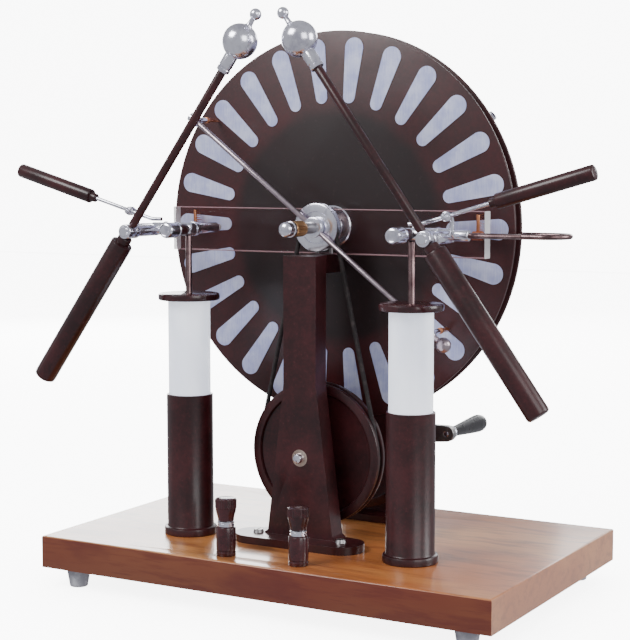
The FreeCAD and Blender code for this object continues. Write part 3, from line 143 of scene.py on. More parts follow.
class NodeBoard:
    """The node tree of one material."""

    def __init__(self, name: str) -> None:
        """Start an empty material with that name."""
        self.material = bpy.data.materials.new(name)
        self.material.use_nodes = True
        self.tree = self.material.node_tree
        self.tree.nodes.clear()
        self.where: Signal = self.add("ShaderNodeTexCoord", {}, {}, "Object")

    def add(self, kind: str, settings: dict, values: dict, result: Union[str, int] = 0) -> Signal:
        """Add any node.

        Args:
            kind: The node's type.
            settings: Properties set first, with ramp stops under "stops".
            values: Values or links for its sockets, by name or number.
            result: The output that is wanted.

        Returns:
            That output.
        """
        node = self.tree.nodes.new(kind)
        for key, value in settings.items():
            if key == "stops":
                ramp = node.color_ramp
                while len(ramp.elements) < len(value):
                    ramp.elements.new(0.5)
                for element, (place, colour) in zip(ramp.elements, value):
                    element.position = place
                    element.color = colour
            else:
                setattr(node, key, value)
        for key, value in values.items():
            if isinstance(value, Signal):
                self.tree.links.new(value.socket, node.inputs[key])
            else:
                node.inputs[key].default_value = value
        return Signal(self, node.outputs[result])

    def stretched(self, scale: tuple[float, float, float]) -> Signal:
        """Object coordinates scaled along each axis."""
        return self.add("ShaderNodeMapping", {}, {"Vector": self.where, "Scale": scale})

    def along(self, axis: int) -> Signal:
        """One object coordinate, in metres."""
        return self.add("ShaderNodeSeparateXYZ", {}, {0: self.where}, axis)

    def cloud(self, scale: float, detail: float = 4.0, roughness: float = 0.55,
              vector: Union[Signal, None] = None) -> Signal:
        """Cloudy noise from 0 to 1.

        Args:
            scale: Noise cells per metre.
            detail: Octaves.
            roughness: Weight of the small octaves.
            vector: Coordinates, or the plain object coordinates.

        Returns:
            The noise.
        """
        values = {"Vector": vector or self.where, "Scale": scale, "Detail": detail,
                  "Roughness": roughness}
        return self.add("ShaderNodeTexNoise", {}, values, "Fac")

    def blend(self, factor: Operand, first: Operand, second: Operand) -> Signal:
        """Mix two colours."""
        values = {0: factor, 6: first, 7: second}
        return self.add("ShaderNodeMix", {"data_type": "RGBA"}, values, 2)

    def facing(self, axis: int) -> Signal:
        """One part of the surface's direction."""
        normal = self.add("ShaderNodeNewGeometry", {}, {}, "True Normal")
        return self.add("ShaderNodeSeparateXYZ", {}, {0: normal}, axis)

    def relief(self, height: Signal, strength: float, distance: float) -> Signal:
        """Bump from a height signal."""
        values = {"Height": height, "Strength": strength, "Distance": distance}
        return self.add("ShaderNodeBump", {}, values, "Normal")

    def close(self, values: dict) -> bpy.types.Material:
        """Finish the material with one Principled shader."""
        shader = self.add("ShaderNodeBsdfPrincipled", {}, values)
        output = self.tree.nodes.new("ShaderNodeOutputMaterial")
        self.tree.links.new(shader.socket, output.inputs["Surface"])
        return self.material


Colour = tuple[float, float, float, float]


def tint(red: float, green: float, blue: float) -> Colour:
    """Screen colour from 0 to 255 turned to linear light."""
    def linear(value: float) -> float:
        """One channel."""
        share = value / 255.0
        return share / 12.92 if share <= 0.04045 else ((share + 0.055) / 1.055) ** 2.4
    return (linear(red), linear(green), linear(blue), 1.0)


@dataclass(frozen=True)
class Finish:
    """A named look, which each kind paints in its own way."""

    name: str

    def paint(self, board: NodeBoard) -> dict:
        """Values for the shader's sockets."""
        raise NotImplementedError

    def build(self) -> bpy.types.Material:
        """Make the material."""
        board = NodeBoard(self.name)
        return board.close(self.paint(board))


@dataclass(frozen=True)
class MouldedPlastic(Finish):
    """Dark moulded plastic with a slight mottle, wipe marks and a soft gloss."""

    deep: Colour
    light: Colour
    gloss: float = 0.3
    coat: float = 0.12

    def paint(self, board: NodeBoard) -> dict:
        """Nodes of this look."""
        mottle = board.cloud(38.0, 5.0, 0.6)
        specks = board.cloud(420.0, 3.0, 0.6)
        wipes = board.cloud(14.0, 4.0, 0.7, board.stretched((1.0, 1.0, 0.22)))
        share = (mottle * 0.7 + specks * 0.3).between(0.34, 0.68)
        colour = board.blend(share, self.deep, self.light)
        colour = board.blend(specks.between(0.62, 0.74) * 0.12, colour, tint(118, 70, 74))
        rough = self.gloss + wipes * 0.22 - 0.08
        normal = board.relief(specks + mottle * 0.6, 0.05, 0.0006)
        return {"Base Color": colour, "Roughness": rough, "Normal": normal,
                "Coat Weight": self.coat, "Coat Roughness": 0.12, "IOR": 1.49}


@dataclass(frozen=True)
class DiscPlastic(Finish):
    """Disc sheet, darker inside the ring of sectors, with turning marks."""

    inside: Colour
    outside: Colour
    ring_from: float = 0.086
    ring_to: float = 0.099

    def paint(self, board: NodeBoard) -> dict:
        """Nodes of this look."""
        across = board.along(0)
        up = board.along(2) - AXIS_Z * MM
        radius = (across * across + up * up) ** 0.5
        edge_wave = board.cloud(60.0, 3.0) * 0.006
        ring = (radius + edge_wave).between(self.ring_from, self.ring_to)
        mottle = board.cloud(46.0, 6.0, 0.62)
        grain = board.cloud(320.0, 3.0, 0.6)
        colour = board.blend(ring, self.inside, self.outside)
        shade = (mottle * 0.65 + grain * 0.35).between(0.36, 0.66)
        colour = board.blend(shade * 0.5, colour, tint(20, 7, 8))
        dust = grain.between(0.6, 0.75) * 0.1
        colour = board.blend(dust, colour, tint(110, 74, 78))
        turning = board.add("ShaderNodeMath", {"operation": "SINE"}, {0: radius * 2600.0})
        normal = board.relief(turning * 0.12 + mottle, 0.05, 0.0005)
        return {"Base Color": colour, "Roughness": 0.34 + mottle * 0.2,
                "Normal": normal, "Coat Weight": 0.2, "Coat Roughness": 0.15}


@dataclass(frozen=True)
class RolledFoil(Finish):
    """Thin metal sectors with a dull lavender cast and a fine rolled grain."""

    light: Colour
    dull: Colour

    def paint(self, board: NodeBoard) -> dict:
        """Nodes of this look."""
        cloud = board.cloud(70.0, 5.0, 0.6)
        grain = board.cloud(900.0, 2.0, 0.5, board.stretched((1.0, 1.0, 0.08)))
        colour = board.blend((cloud * 0.7 + grain * 0.3).between(0.35, 0.66), self.dull, self.light)
        return {"Base Color": colour, "Metallic": 0.55,
                "Roughness": 0.42 + cloud * 0.2,
                "Normal": board.relief(grain + cloud, 0.06, 0.0004)}


@dataclass(frozen=True)
class PolishedMetal(Finish):
    """Plated or turned metal with fine marks and cloudy tarnish."""

    bright: Colour
    dull: Colour
    gloss: float = 0.12
    marks: float = 0.05

    def paint(self, board: NodeBoard) -> dict:
        """Nodes of this look."""
        cloud = board.cloud(90.0, 5.0, 0.6)
        scratch = board.cloud(1100.0, 2.0, 0.5, board.stretched((0.15, 1.0, 1.0)))
        colour = board.blend(cloud.between(0.42, 0.72), self.bright, self.dull)
        return {"Base Color": colour, "Metallic": 1.0,
                "Roughness": self.gloss + cloud * 0.12 + scratch * 0.05,
                "Normal": board.relief(scratch, self.marks, 0.0003)}


@dataclass(frozen=True)
class VarnishedWood(Finish):
    """Board of straight grain that runs along X, redder on its sides, with end faces made pale by a
    painted highlight, under varnish.
    """

    pale: Colour
    warm: Colour
    vein: Colour
    side: Colour

    def paint(self, board: NodeBoard) -> dict:
        """Nodes of this look."""
        wide = board.cloud(9.0, 4.0, 0.6, board.stretched((0.35, 1.0, 1.0)))
        bent = board.add("ShaderNodeVectorMath", {"operation": "ADD"},
                         {0: board.stretched((0.16, 1.0, 1.6)), 1: board.add(
                             "ShaderNodeCombineXYZ", {}, {1: wide * 0.05, 2: wide * 0.04})})
        rings = board.cloud(95.0, 6.0, 0.62, bent)
        pores = board.cloud(620.0, 3.0, 0.55, board.stretched((0.05, 1.0, 1.0)))
        blotch = board.cloud(14.0, 3.0, 0.5, board.stretched((0.5, 1.0, 1.0)))
        colour = board.blend(blotch.between(0.35, 0.65), self.pale, self.warm)
        colour = board.blend(rings.between(0.46, 0.66) * 0.6, colour, self.vein)
        colour = board.blend(pores.between(0.56, 0.72) * 0.45, colour, tint(96, 50, 32))
        upward = board.facing(2)
        endward = board.facing(0)
        # Mask of the faces that point along X, which get a painted highlight.
        end = (endward * endward).between(0.3, 0.8)
        flank = (1.0 - upward.between(0.2, 0.7)) * (1.0 - end)
        knots = board.cloud(34.0, 3.0, 0.5, board.stretched((0.45, 1.0, 1.0))).between(0.5, 0.64)
        colour = board.blend(flank * 0.82, colour, self.side)
        colour = board.blend(flank * knots * 0.5, colour, tint(92, 26, 22))
        # Painted highlight: the end faces are blended towards pale pink.
        colour = board.blend(end * 0.45, colour, tint(214, 164, 140))
        normal = board.relief(pores * 0.6 + rings * 0.4, 0.12, 0.0004)
        return {"Base Color": colour, "Roughness": 0.26 + blotch * 0.1 + pores * 0.06,
                "Normal": normal, "Coat Weight": 0.5, "Coat Roughness": 0.14}


@dataclass(frozen=True)
class ClearSheet(Finish):
    """Clear plastic bar: faint on its faces, with painted highlights that make it pink along its
    edges and white at its ends.
    """

    body: Colour
    # edge and end are the colours of painted highlights on the bar's edges and end faces.
    edge: Colour
    end: Colour
    alpha: float = 0.04

    def paint(self, board: NodeBoard) -> dict:
        """Nodes of this look."""
        to_end = board.facing(0)
        to_face = board.facing(1)
        # Masks of the painted highlights: along the edges and on the end faces.
        edge = 1.0 - (to_face * to_face).between(0.45, 0.9)
        end = (to_end * to_end).between(0.3, 0.8)
        haze = board.cloud(60.0, 4.0, 0.6)
        colour = board.blend(edge, self.body, self.edge)
        colour = board.blend(end, colour, self.end)
        colour = board.blend(haze.between(0.55, 0.8) * 0.2, colour, self.end)
        # The painted highlights are also made more opaque, so that they show.
        alpha = edge * 0.5 + end * 0.3 + self.alpha + haze * 0.05
        return {"Base Color": colour, "Roughness": 0.08 + haze * 0.08,
                "Alpha": alpha, "IOR": 1.49}


@dataclass(frozen=True)
class FrostedTube(Finish):
    """Milky tube with faint smears, through which the rod inside shows a little, glowing in its own
    colour as painted light.
    """

    milk: Colour
    shade: Colour
    alpha: float = 0.8

    def paint(self, board: NodeBoard) -> dict:
        """Nodes of this look."""
        smear = board.cloud(30.0, 4.0, 0.6, board.stretched((1.0, 1.0, 0.3)))
        fine = board.cloud(500.0, 2.0, 0.5)
        colour = board.blend((smear * 0.8 + fine * 0.2).between(0.38, 0.68), self.milk, self.shade)
        # Emission makes the tube glow in its own colour: painted light, since the tube is no lamp.
        return {"Base Color": colour, "Roughness": 0.36 + smear * 0.15,
                "Normal": board.relief(fine, 0.04, 0.0003),
                "Alpha": self.alpha + smear * 0.16,
                "Emission Color": colour, "Emission Strength": 1.0}


@dataclass(frozen=True)
class SoftRubber(Finish):
    """Matt rubber with a dusty bloom."""

    base: Colour
    bloom: Colour

    def paint(self, board: NodeBoard) -> dict:
        """Nodes of this look."""
        dust = board.cloud(160.0, 5.0, 0.65)
        colour = board.blend(dust.between(0.45, 0.75), self.base, self.bloom)
        return {"Base Color": colour, "Roughness": 0.62 + dust * 0.25,
                "Normal": board.relief(dust, 0.15, 0.0005)}


MAROON = MouldedPlastic("maroon_plastic", tint(36, 9, 11), tint(66, 23, 26))
MAROON_SATIN = MouldedPlastic("maroon_lids", tint(38, 10, 13), tint(72, 27, 32), 0.22, 0.3)
GRIP_BLACK = MouldedPlastic("grip_plastic", tint(18, 17, 19), tint(42, 40, 44), 0.24, 0.3)
DISC = DiscPlastic("disc_plastic", tint(30, 8, 9), tint(64, 19, 22))
FOIL = RolledFoil("sector_foil", tint(226, 230, 255), tint(188, 194, 238))
CHROME = PolishedMetal("chrome", tint(246, 246, 255), tint(206, 204, 218))
STEEL = PolishedMetal("turned_steel", tint(186, 184, 184), tint(140, 136, 134), 0.28, 0.1)
SATIN = PolishedMetal("satin_rod", tint(186, 172, 178), tint(150, 134, 142), 0.24, 0.1)
SMOKED = PolishedMetal("smoked_rod", tint(142, 118, 118), tint(96, 72, 74), 0.2, 0.1)
PALE_BRASS = PolishedMetal("pale_brass", tint(206, 188, 174), tint(166, 144, 130), 0.3, 0.1)
BRASS = PolishedMetal("brass", tint(216, 168, 116), tint(160, 112, 74), 0.24, 0.1)
COPPER = PolishedMetal("copper_wire", tint(222, 150, 108), tint(160, 92, 60), 0.32, 0.1)
WOOD = VarnishedWood("varnished_board", tint(214, 146, 84), tint(184, 108, 56),
                     tint(118, 56, 30), tint(92, 20, 18))
# The second and third colours are painted highlights on the bar's edges and ends.
CLEAR = ClearSheet("clear_bar", tint(96, 44, 50), tint(206, 164, 170), tint(240, 238, 240))
# The frosted tube glows by emission: painted light.
MILK = FrostedTube("frosted_tube", tint(236, 239, 246), tint(214, 219, 232))
BELT_RUBBER = SoftRubber("belt_rubber", tint(34, 28, 28), tint(70, 60, 60))
FOOT_RUBBER = SoftRubber("foot_rubber", tint(168, 168, 176), tint(206, 206, 212))


class PaintShop:
    """Makes each finish once and hands it out again."""

    made: dict[str, bpy.types.Material] = {}

    @classmethod
    def get(cls, finish: Finish) -> bpy.types.Material:
        """The material of a finish."""
        if finish.name not in cls.made:
            cls.made[finish.name] = finish.build()
        return cls.made[finish.name]

    @classmethod
    def coat(cls, node: str, finish: Finish) -> None:
        """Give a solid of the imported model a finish."""
        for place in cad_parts[node].material_slots:
            place.material = cls.get(finish)


def barrel(radius: float, low: float, high: float, edge: float) -> list[tuple[float, float]]:
    """Outer outline of a round with softened ends.

    Args:
        radius: Its radius.
        low: Station of the near end.
        high: Station of the far end.
        edge: How far the ends are softened.

    Returns:
        Pairs of radius and station.
    """
    near = [(radius - edge, low), (radius - 0.3 * edge, low + 0.3 * edge), (radius, low + edge)]
    far = [(radius, high - edge), (radius - 0.3 * edge, high - 0.3 * edge), (radius - edge, high)]
    return near + far


def mirrored(half: Profile) -> list[tuple[float, float]]:
    """Half an outline and its mirror image about station 0."""
    return [*half, *((radius, -station) for radius, station in reversed(half))]


def arc(centre: float, radius: float, start: int, step: int, count: int) -> list[tuple[float, float]]:
    """Hollow of a groove for a round cord, by angles in degrees.

    Args:
        centre: Radius at which the cord's centre runs.
        radius: Radius of the hollow.
        start: First angle.
        step: Angle between neighbours.
        count: Number of points.

    Returns:
        Pairs of radius and station.
    """
    angles = [math.radians(start + step * number) for number in range(count)]
    return [(centre - radius * math.cos(angle), radius * math.sin(angle)) for angle in angles]


# Meshes: closed shapes in millimetres, gathered in a mould
class Mould:
    """Collects turned, bent and pressed shapes, in millimetres, for one piece."""

    def __init__(self) -> None:
        """Start with an empty mesh."""
        self.mesh = bmesh.new()

    def _take(self, part: bmesh.types.BMesh, move: Matrix) -> "Mould":
        """Clean one closed shape, put it in its place and keep it."""
        bmesh.ops.remove_doubles(part, verts=part.verts, dist=0.0005)
        part.transform(move)
        bmesh.ops.recalc_face_normals(part, faces=part.faces)
        carrier = bpy.data.meshes.new("carrier")
        part.to_mesh(carrier)
        part.free()
        self.mesh.from_mesh(carrier)
        bpy.data.meshes.remove(carrier)
        return self

    @staticmethod
    def _stand(origin: Vector, direction: Vector) -> Matrix:
        """Placement whose Z axis points along a direction."""
        turn = ALONG_Z.rotation_difference(direction.normalized())
        return Matrix.Translation(origin) @ turn.to_matrix().to_4x4()

    def lathe(self, profile: Profile, origin: Vector, direction: Vector,
              steps: int = 56) -> "Mould":
        """Spin a profile of radius and station pairs about a line.

        Args:
            profile: Pairs in order round the section, closed by itself when bored.
            origin: Where station 0 lies.
            direction: The way the stations run.
            steps: Sides of the round.

        Returns:
            This mould.
        """
        part = bmesh.new()
        verts = [part.verts.new((radius, 0.0, station)) for radius, station in profile]
        edges = [part.edges.new(pair) for pair in zip(verts, verts[1:])]
        if profile[0][0] > 0.0 or profile[-1][0] > 0.0:
            edges.append(part.edges.new((verts[-1], verts[0])))
        bmesh.ops.spin(part, geom=verts + edges, cent=(0, 0, 0), axis=(0, 0, 1),
                       angle=2 * math.pi, steps=steps, use_merge=True, use_duplicate=False)
        return self._take(part, self._stand(origin, direction))

    def bar(self, start: Vector, end: Vector, radius: float, edge: float = 0.4,
            steps: int = 40) -> "Mould":
        """Round bar with softened ends."""
        return self.ring(start, end, radius, 0.0, edge, steps)

    def ring(self, start: Vector, end: Vector, outer: float, bore: float, edge: float = 0.3,
             steps: int = 48) -> "Mould":
        """Bored round with softened outer edges."""
        length = (end - start).length
        edge = min(edge, (outer - bore) * 0.4, length * 0.4)
        profile = [(bore, 0.0), *barrel(outer, 0.0, length, edge), (bore, length)]
        return self.lathe(profile, start, end - start, steps)

    def ball(self, centre: Vector, radius: float, sides: int = 48) -> "Mould":
        """Round ball."""
        part = bmesh.new()
        bmesh.ops.create_uvsphere(part, u_segments=sides, v_segments=sides // 2, radius=radius)
        return self._take(part, Matrix.Translation(centre))

    def fluted(self, start: Vector, end: Vector, radius: float, depth: float,
               count: int) -> "Mould":
        """Knurled round: a toothed outline extruded, with its ends drawn in.

        Args:
            start: Centre of one end.
            end: Centre of the other end.
            radius: Outer radius over the teeth.
            depth: Depth of the grooves.
            count: Number of grooves.

        Returns:
            This mould.
        """
        length = (end - start).length
        part = bmesh.new()
        made = bmesh.ops.create_circle(part, cap_ends=True, segments=2 * count, radius=radius)
        for vert in made["verts"][1::2]:
            vert.co *= (radius - depth) / radius
        raised = bmesh.ops.extrude_face_region(part, geom=part.faces[:], use_keep_orig=True)
        top = [item for item in raised["geom"] if isinstance(item, bmesh.types.BMVert)]
        bmesh.ops.translate(part, verts=top, vec=(0.0, 0.0, length))
        bmesh.ops.recalc_face_normals(part, faces=part.faces)
        rims = [edge for edge in part.edges if abs(edge.verts[0].co.z - edge.verts[1].co.z) < 0.001]
        bmesh.ops.bevel(part, geom=rims, offset=min(0.4, 0.15 * length), offset_type="OFFSET",
                        affect="EDGES", segments=1, profile=0.5, material=-1, clamp_overlap=True)
        return self._take(part, self._stand(start, end - start))

    def screw(self, seat: Vector, direction: Vector, head: float, height: float, shank: float,
              length: float) -> "Mould":
        """Slotted screw whose head rises from its seat.

        Args:
            seat: Where the head sits.
            direction: The way the head points.
            head: Radius of the head.
            height: Height of the head.
            shank: Radius of the shank.
            length: Length of the shank below the seat.

        Returns:
            This mould.
        """
        part = bmesh.new()
        bmesh.ops.create_cone(part, cap_ends=True, segments=36, radius1=head,
                              radius2=0.8 * head, depth=height)
        bmesh.ops.translate(part, verts=part.verts, vec=(0.0, 0.0, height / 2))
        slot = 0.14 * head
        for side in (-slot, slot):
            every = part.verts[:] + part.edges[:] + part.faces[:]
            bmesh.ops.bisect_plane(part, geom=every, plane_co=(side, 0.0, 0.0),
                                   plane_no=(1.0, 0.0, 0.0))
        part.faces.ensure_lookup_table()
        strip = [face for face in part.faces
                 if face.normal.z > 0.9 and abs(face.calc_center_median().x) < slot]
        sunk = bmesh.ops.extrude_face_region(part, geom=strip)
        floor = [item for item in sunk["geom"] if isinstance(item, bmesh.types.BMVert)]
        bmesh.ops.translate(part, verts=floor, vec=(0.0, 0.0, -0.45 * height))
        bmesh.ops.delete(part, geom=strip, context="FACES_ONLY")
        self._take(part, self._stand(seat, direction))
        return self.bar(seat - direction * length, seat + direction * 0.2, shank, 0.2, 16)

    def bent(self, points: Sequence[Vector], radius: float, bend: float,
             sides: int = 6) -> "Mould":
        """Round bar bent along a route of straight runs and arcs.

        Args:
            points: Corners of the route.
            radius: Radius of the bar.
            bend: Radius of each arc, one value for all corners.
            sides: Bevel resolution of the round.

        Returns:
            This mould.
        """
        route = [points[0]]
        for before, corner, after in zip(points, points[1:], points[2:]):
            into = (corner - before).normalized()
            out = (after - corner).normalized()
            half = into.angle(out) / 2
            reach = bend * math.tan(half)
            centre = corner + (out - into).normalized() * (bend / math.cos(half))
            first = corner - into * reach - centre
            axis = into.cross(out).normalized()
            turns = max(4, int(math.degrees(2 * half) / 7))
            for step in range(turns + 1):
                swing = Matrix.Rotation(2 * half * step / turns, 4, axis)
                route.append(centre + swing @ first)
        route.append(points[-1])
        curve = bpy.data.curves.new("route", "CURVE")
        curve.dimensions = "3D"
        curve.bevel_depth = radius
        curve.bevel_resolution = sides
        curve.use_fill_caps = True
        spline = curve.splines.new("POLY")
        spline.points.add(len(route) - 1)
        for place, point in zip(spline.points, route):
            place.co = (*point, 1.0)
        holder = bpy.data.objects.new("route", curve)
        bpy.context.scene.collection.objects.link(holder)
        mesh = bpy.data.meshes.new_from_object(holder)
        part = bmesh.new()
        part.from_mesh(mesh)
        bpy.data.objects.remove(holder)
        bpy.data.curves.remove(curve)
        bpy.data.meshes.remove(mesh)
        return self._take(part, Matrix.Identity(4))

    def wire(self, start: Vector, end: Vector, radius: float) -> "Mould":
        """Thin straight wire of six sides."""
        part = bmesh.new()
        length = (end - start).length
        bmesh.ops.create_cone(part, cap_ends=True, segments=6, radius1=radius,
                              radius2=radius * 0.8, depth=length)
        bmesh.ops.translate(part, verts=part.verts, vec=(0, 0, length / 2))
        return self._take(part, self._stand(start, end - start))

    def turned_by(self, matrix: Matrix) -> "Mould":
        """Move everything made so far."""
        self.mesh.transform(matrix)
        return self

    def from_solid(self, node: str, width: float) -> "Mould":
        """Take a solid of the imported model, merge it and soften its edges.

        Args:
            node: Its name.
            width: Width of the softened edge, in millimetres.

        Returns:
            This mould.
        """
        part = bmesh.new()
        part.from_mesh(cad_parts[node].data)
        part.transform(Matrix.Scale(1 / MM, 4))
        bmesh.ops.remove_doubles(part, verts=part.verts, dist=0.002)
        bmesh.ops.dissolve_limit(part, angle_limit=math.radians(1.0), verts=part.verts,
                                 edges=part.edges)
        sharp = [edge for edge in part.edges
                 if len(edge.link_faces) == 2 and edge.calc_face_angle(0.0) > math.radians(40)]
        bmesh.ops.bevel(part, geom=sharp, offset=width, offset_type="OFFSET", affect="EDGES",
                        segments=2, profile=0.5, material=-1, clamp_overlap=True)
        return self._take(part, Matrix.Identity(4))

    def release(self, name: str, body: str, finish: Finish, slot: str,
                nodes: Sequence[str] = (), sharp: float = 32.0) -> bpy.types.Object:
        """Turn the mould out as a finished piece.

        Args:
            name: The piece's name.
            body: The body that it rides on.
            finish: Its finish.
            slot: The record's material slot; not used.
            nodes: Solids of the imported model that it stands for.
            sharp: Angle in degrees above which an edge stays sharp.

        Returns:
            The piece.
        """
        self.mesh.transform(Matrix.Scale(MM, 4))
        data = bpy.data.meshes.new(name)
        self.mesh.to_mesh(data)
        self.mesh.free()
        data.shade_smooth()
        data.set_sharp_from_angle(angle=math.radians(sharp))
        data.materials.append(PaintShop.get(finish))
        piece = bpy.data.objects.new(name, data)
        bpy.context.scene.collection.objects.link(piece)
        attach(piece, body)
        if nodes:
            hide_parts(*nodes)
        return piece


# The machine, group by group
class Assembly:
    """A group of pieces that is built in one go."""

    def build(self) -> None:
        """Make the pieces."""
        raise NotImplementedError


@dataclass
class Board(Assembly):
    """Wooden board on four rubber feet, with the screws of the whole frame."""

    feet_x: float = 166.0
    feet_y: tuple[float, float] = (-121.0, 90.0)
    foot_height: float = 15.0
    foot_top: float = 9.5
    foot_tip: float = 7.0
    recess: float = 4.0
    recess_depth: float = 5.0
    plate: float = 6.0
    plate_x: float = 36.0
    plate_y: tuple[float, float] = (-64.0, 49.0)
    plate_head: float = 4.2
    bar_x: float = 6.0
    bar_y: float = -25.0
    bar_seat: float = 247.3

    def build(self) -> None:
        """Make the board and its feet and dress the screws."""
        Mould().from_solid("base_board", 0.5).release(
            "board_top", "frame", WOOD, "wood", ["base_board"], FLAT_SHARP)
        feet = Mould()
        section = [(2.0, self.recess_depth), (self.recess, self.recess_depth), (self.recess, 0.0),
                   (self.foot_tip - 0.5, 0.0), (self.foot_tip, 0.5),
                   (self.foot_top - 0.05, self.foot_height - 0.4),
                   (self.foot_top - 0.4, self.foot_height), (2.0, self.foot_height)]
        for side in Side:
            for y in self.feet_y:
                feet.lathe(section, spot(self.feet_x * side.value, y, 0.0), ALONG_Z)
        feet.release("tapered_feet", "frame", FOOT_RUBBER, "rubber", ["rubber_feet"])
        screws = Mould()
        for side in Side:
            for y in self.feet_y:
                screws.screw(spot(self.feet_x * side.value, y, self.recess_depth), -ALONG_Z,
                             self.recess, 2.9, 2.0, 23.8)
            for y in self.plate_y:
                screws.screw(spot(self.plate_x * side.value, y, BOARD_TOP + self.plate), ALONG_Z,
                             self.plate_head, 2.4, 2.0, 21.8)
            screws.screw(spot(self.bar_x * side.value, self.bar_y, self.bar_seat), -ALONG_Z,
                         3.0, 1.7, 1.5, 20.0)
        screws.release("slotted_screws", "frame", STEEL, "steel", ["frame_screws"])


@dataclass
class Frame(Assembly):
    """The two uprights, the clear bar and the bushes."""

    softness: float = 0.7

    def build(self) -> None:
        """Make the uprights and the bar."""
        for node in ("front_upright", "rear_upright"):
            Mould().from_solid(node, self.softness).release(
                node + "_moulding", "frame", MAROON, "maroon", [node], FLAT_SHARP)
        Mould().from_solid("cross_bar", 0.2).release(
            "clear_bar", "frame", CLEAR, "acrylic", ["cross_bar"], FLAT_SHARP)
        PaintShop.coat("bushes", PALE_BRASS)
        PaintShop.coat("axle", STEEL)


@dataclass
class AxleStack(Assembly):
    """Sleeves and nuts threaded on the fixed axle."""

    axle: float = 3.0
    hub_end: float = 44.3
    spacer: float = 4.0
    sleeve_end: float = 59.4
    nut_end: float = 73.4
    washer_end: float = 75.4
    nut_radius: float = 6.0
    cap_radius: float = 5.5
    cap_length: float = 11.0
    upright_near: float = 50.0
    upright_far: float = 66.0
    rear_nut_end: float = 73.0

    def point(self, y: float) -> Vector:
        """A point of the axle's centre line."""
        return spot(0.0, y, AXIS_Z)

    def cap(self, mould: Mould, y: float, way: float) -> None:
        """Domed nut on one end of the axle."""
        r = self.cap_radius
        length = self.cap_length
        dome = [(r * math.cos(a), length - 3.4 + 3.4 * math.sin(a))
                for a in (math.radians(9 * k) for k in range(0, 10))]
        profile = [(0.0, 0.0), (r + 0.5, 0.0), (r + 0.5, 2.0), (r, 2.3)] + dome[:-1]
        profile.append((0.0, length))
        mould.lathe(profile, self.point(y), ALONG_Y * way)

    def build(self) -> None:
        """Make the sleeves and the nuts."""
        sleeves = Mould()
        sleeves.ring(self.point(-self.sleeve_end), self.point(-self.hub_end), 4.5, self.axle)
        sleeves.ring(self.point(self.hub_end), self.point(self.upright_near), 5.5, self.axle)
        sleeves.ring(self.point(-self.spacer), self.point(self.spacer), 7.0, self.axle)
        sleeves.release("axle_sleeve_set", "frame", STEEL, "steel", ["axle_sleeves"])
        nuts = Mould()
        nuts.fluted(self.point(-self.sleeve_end), self.point(-self.nut_end), self.nut_radius,
                    0.45, 28)
        nuts.bar(self.point(-self.nut_end), self.point(-self.washer_end), self.nut_radius, 0.5)
        nuts.fluted(self.point(self.upright_far), self.point(self.rear_nut_end),
                    self.nut_radius, 0.45, 28)
        nuts.release("knurled_nuts", "frame", BRASS, "brass", ["brass_nuts"])
        caps = Mould()
        self.cap(caps, -self.washer_end, -1.0)
        self.cap(caps, self.rear_nut_end, 1.0)
        caps.release("domed_nuts", "frame", CHROME, "chrome", ["cap_nuts"])


@dataclass
class Disc(Assembly):
    """One disc with its sectors, hub and small pulley."""

    face: Face
    radius: float = 150.0
    inner: float = 4.3
    outer: float = 7.3
    hub_flange: float = 16.0
    hub_flange_end: float = 12.0
    hub_tube: float = 7.0
    bore: float = 3.06
    spool: float = 18.5
    groove: float = 12.25
    groove_lip: float = 13.6
    cord: float = 1.75
    spool_from: float = 30.5
    spool_to: float = 38.5

    def build(self) -> None:
        """Make the plate and the hub and dress the sectors."""
        side = self.face.word
        way = ALONG_Y * float(self.face.value)
        body = side + "_disc"
        centre = spot(0.0, 0.0, AXIS_Z)
        plate = [(self.hub_tube, self.inner), *barrel(self.radius, self.inner, self.outer, 0.5),
                 (self.hub_tube, self.outer)]
        Mould().lathe(plate, centre, way, 192).release(
            side + "_disc_sheet", body, DISC, "disc", [side + "_disc_plate"])
        middle = (self.spool_from + self.spool_to) / 2
        near = [(self.spool - 0.8, self.spool_from), (self.spool - 0.2, self.spool_from + 0.3),
                (self.spool, self.spool_from + 0.9), (self.spool - 0.3, middle - 2.2),
                (self.groove_lip, middle - 1.7)]
        far = [(radius, 2 * middle - station) for radius, station in reversed(near)]
        groove = [(radius, middle + station)
                  for radius, station in arc(self.groove + self.cord, self.cord, -60, 20, 7)]
        hub = [(self.bore, self.inner), (self.hub_tube, self.inner), (self.hub_tube, self.outer),
               (self.hub_flange - 0.6, self.outer), (self.hub_flange, self.outer + 0.6),
               (self.hub_flange, self.hub_flange_end - 0.8),
               (self.hub_flange - 0.8, self.hub_flange_end),
               (self.hub_tube + 1.5, self.hub_flange_end), (self.hub_tube, 13.5),
               (self.hub_tube, self.spool_from), *near, *groove, *far, (12.2, self.spool_to),
               (11.8, self.spool_to - 0.5), (6.4, self.spool_to - 0.5), (6.0, self.spool_to),
               (self.bore, self.spool_to)]
        Mould().lathe(hub, centre, way, 72).release(
            side + "_hub_turning", body, CHROME, "chrome", [side + "_disc_hub"])
        PaintShop.coat(side + "_disc_sectors", FOIL)


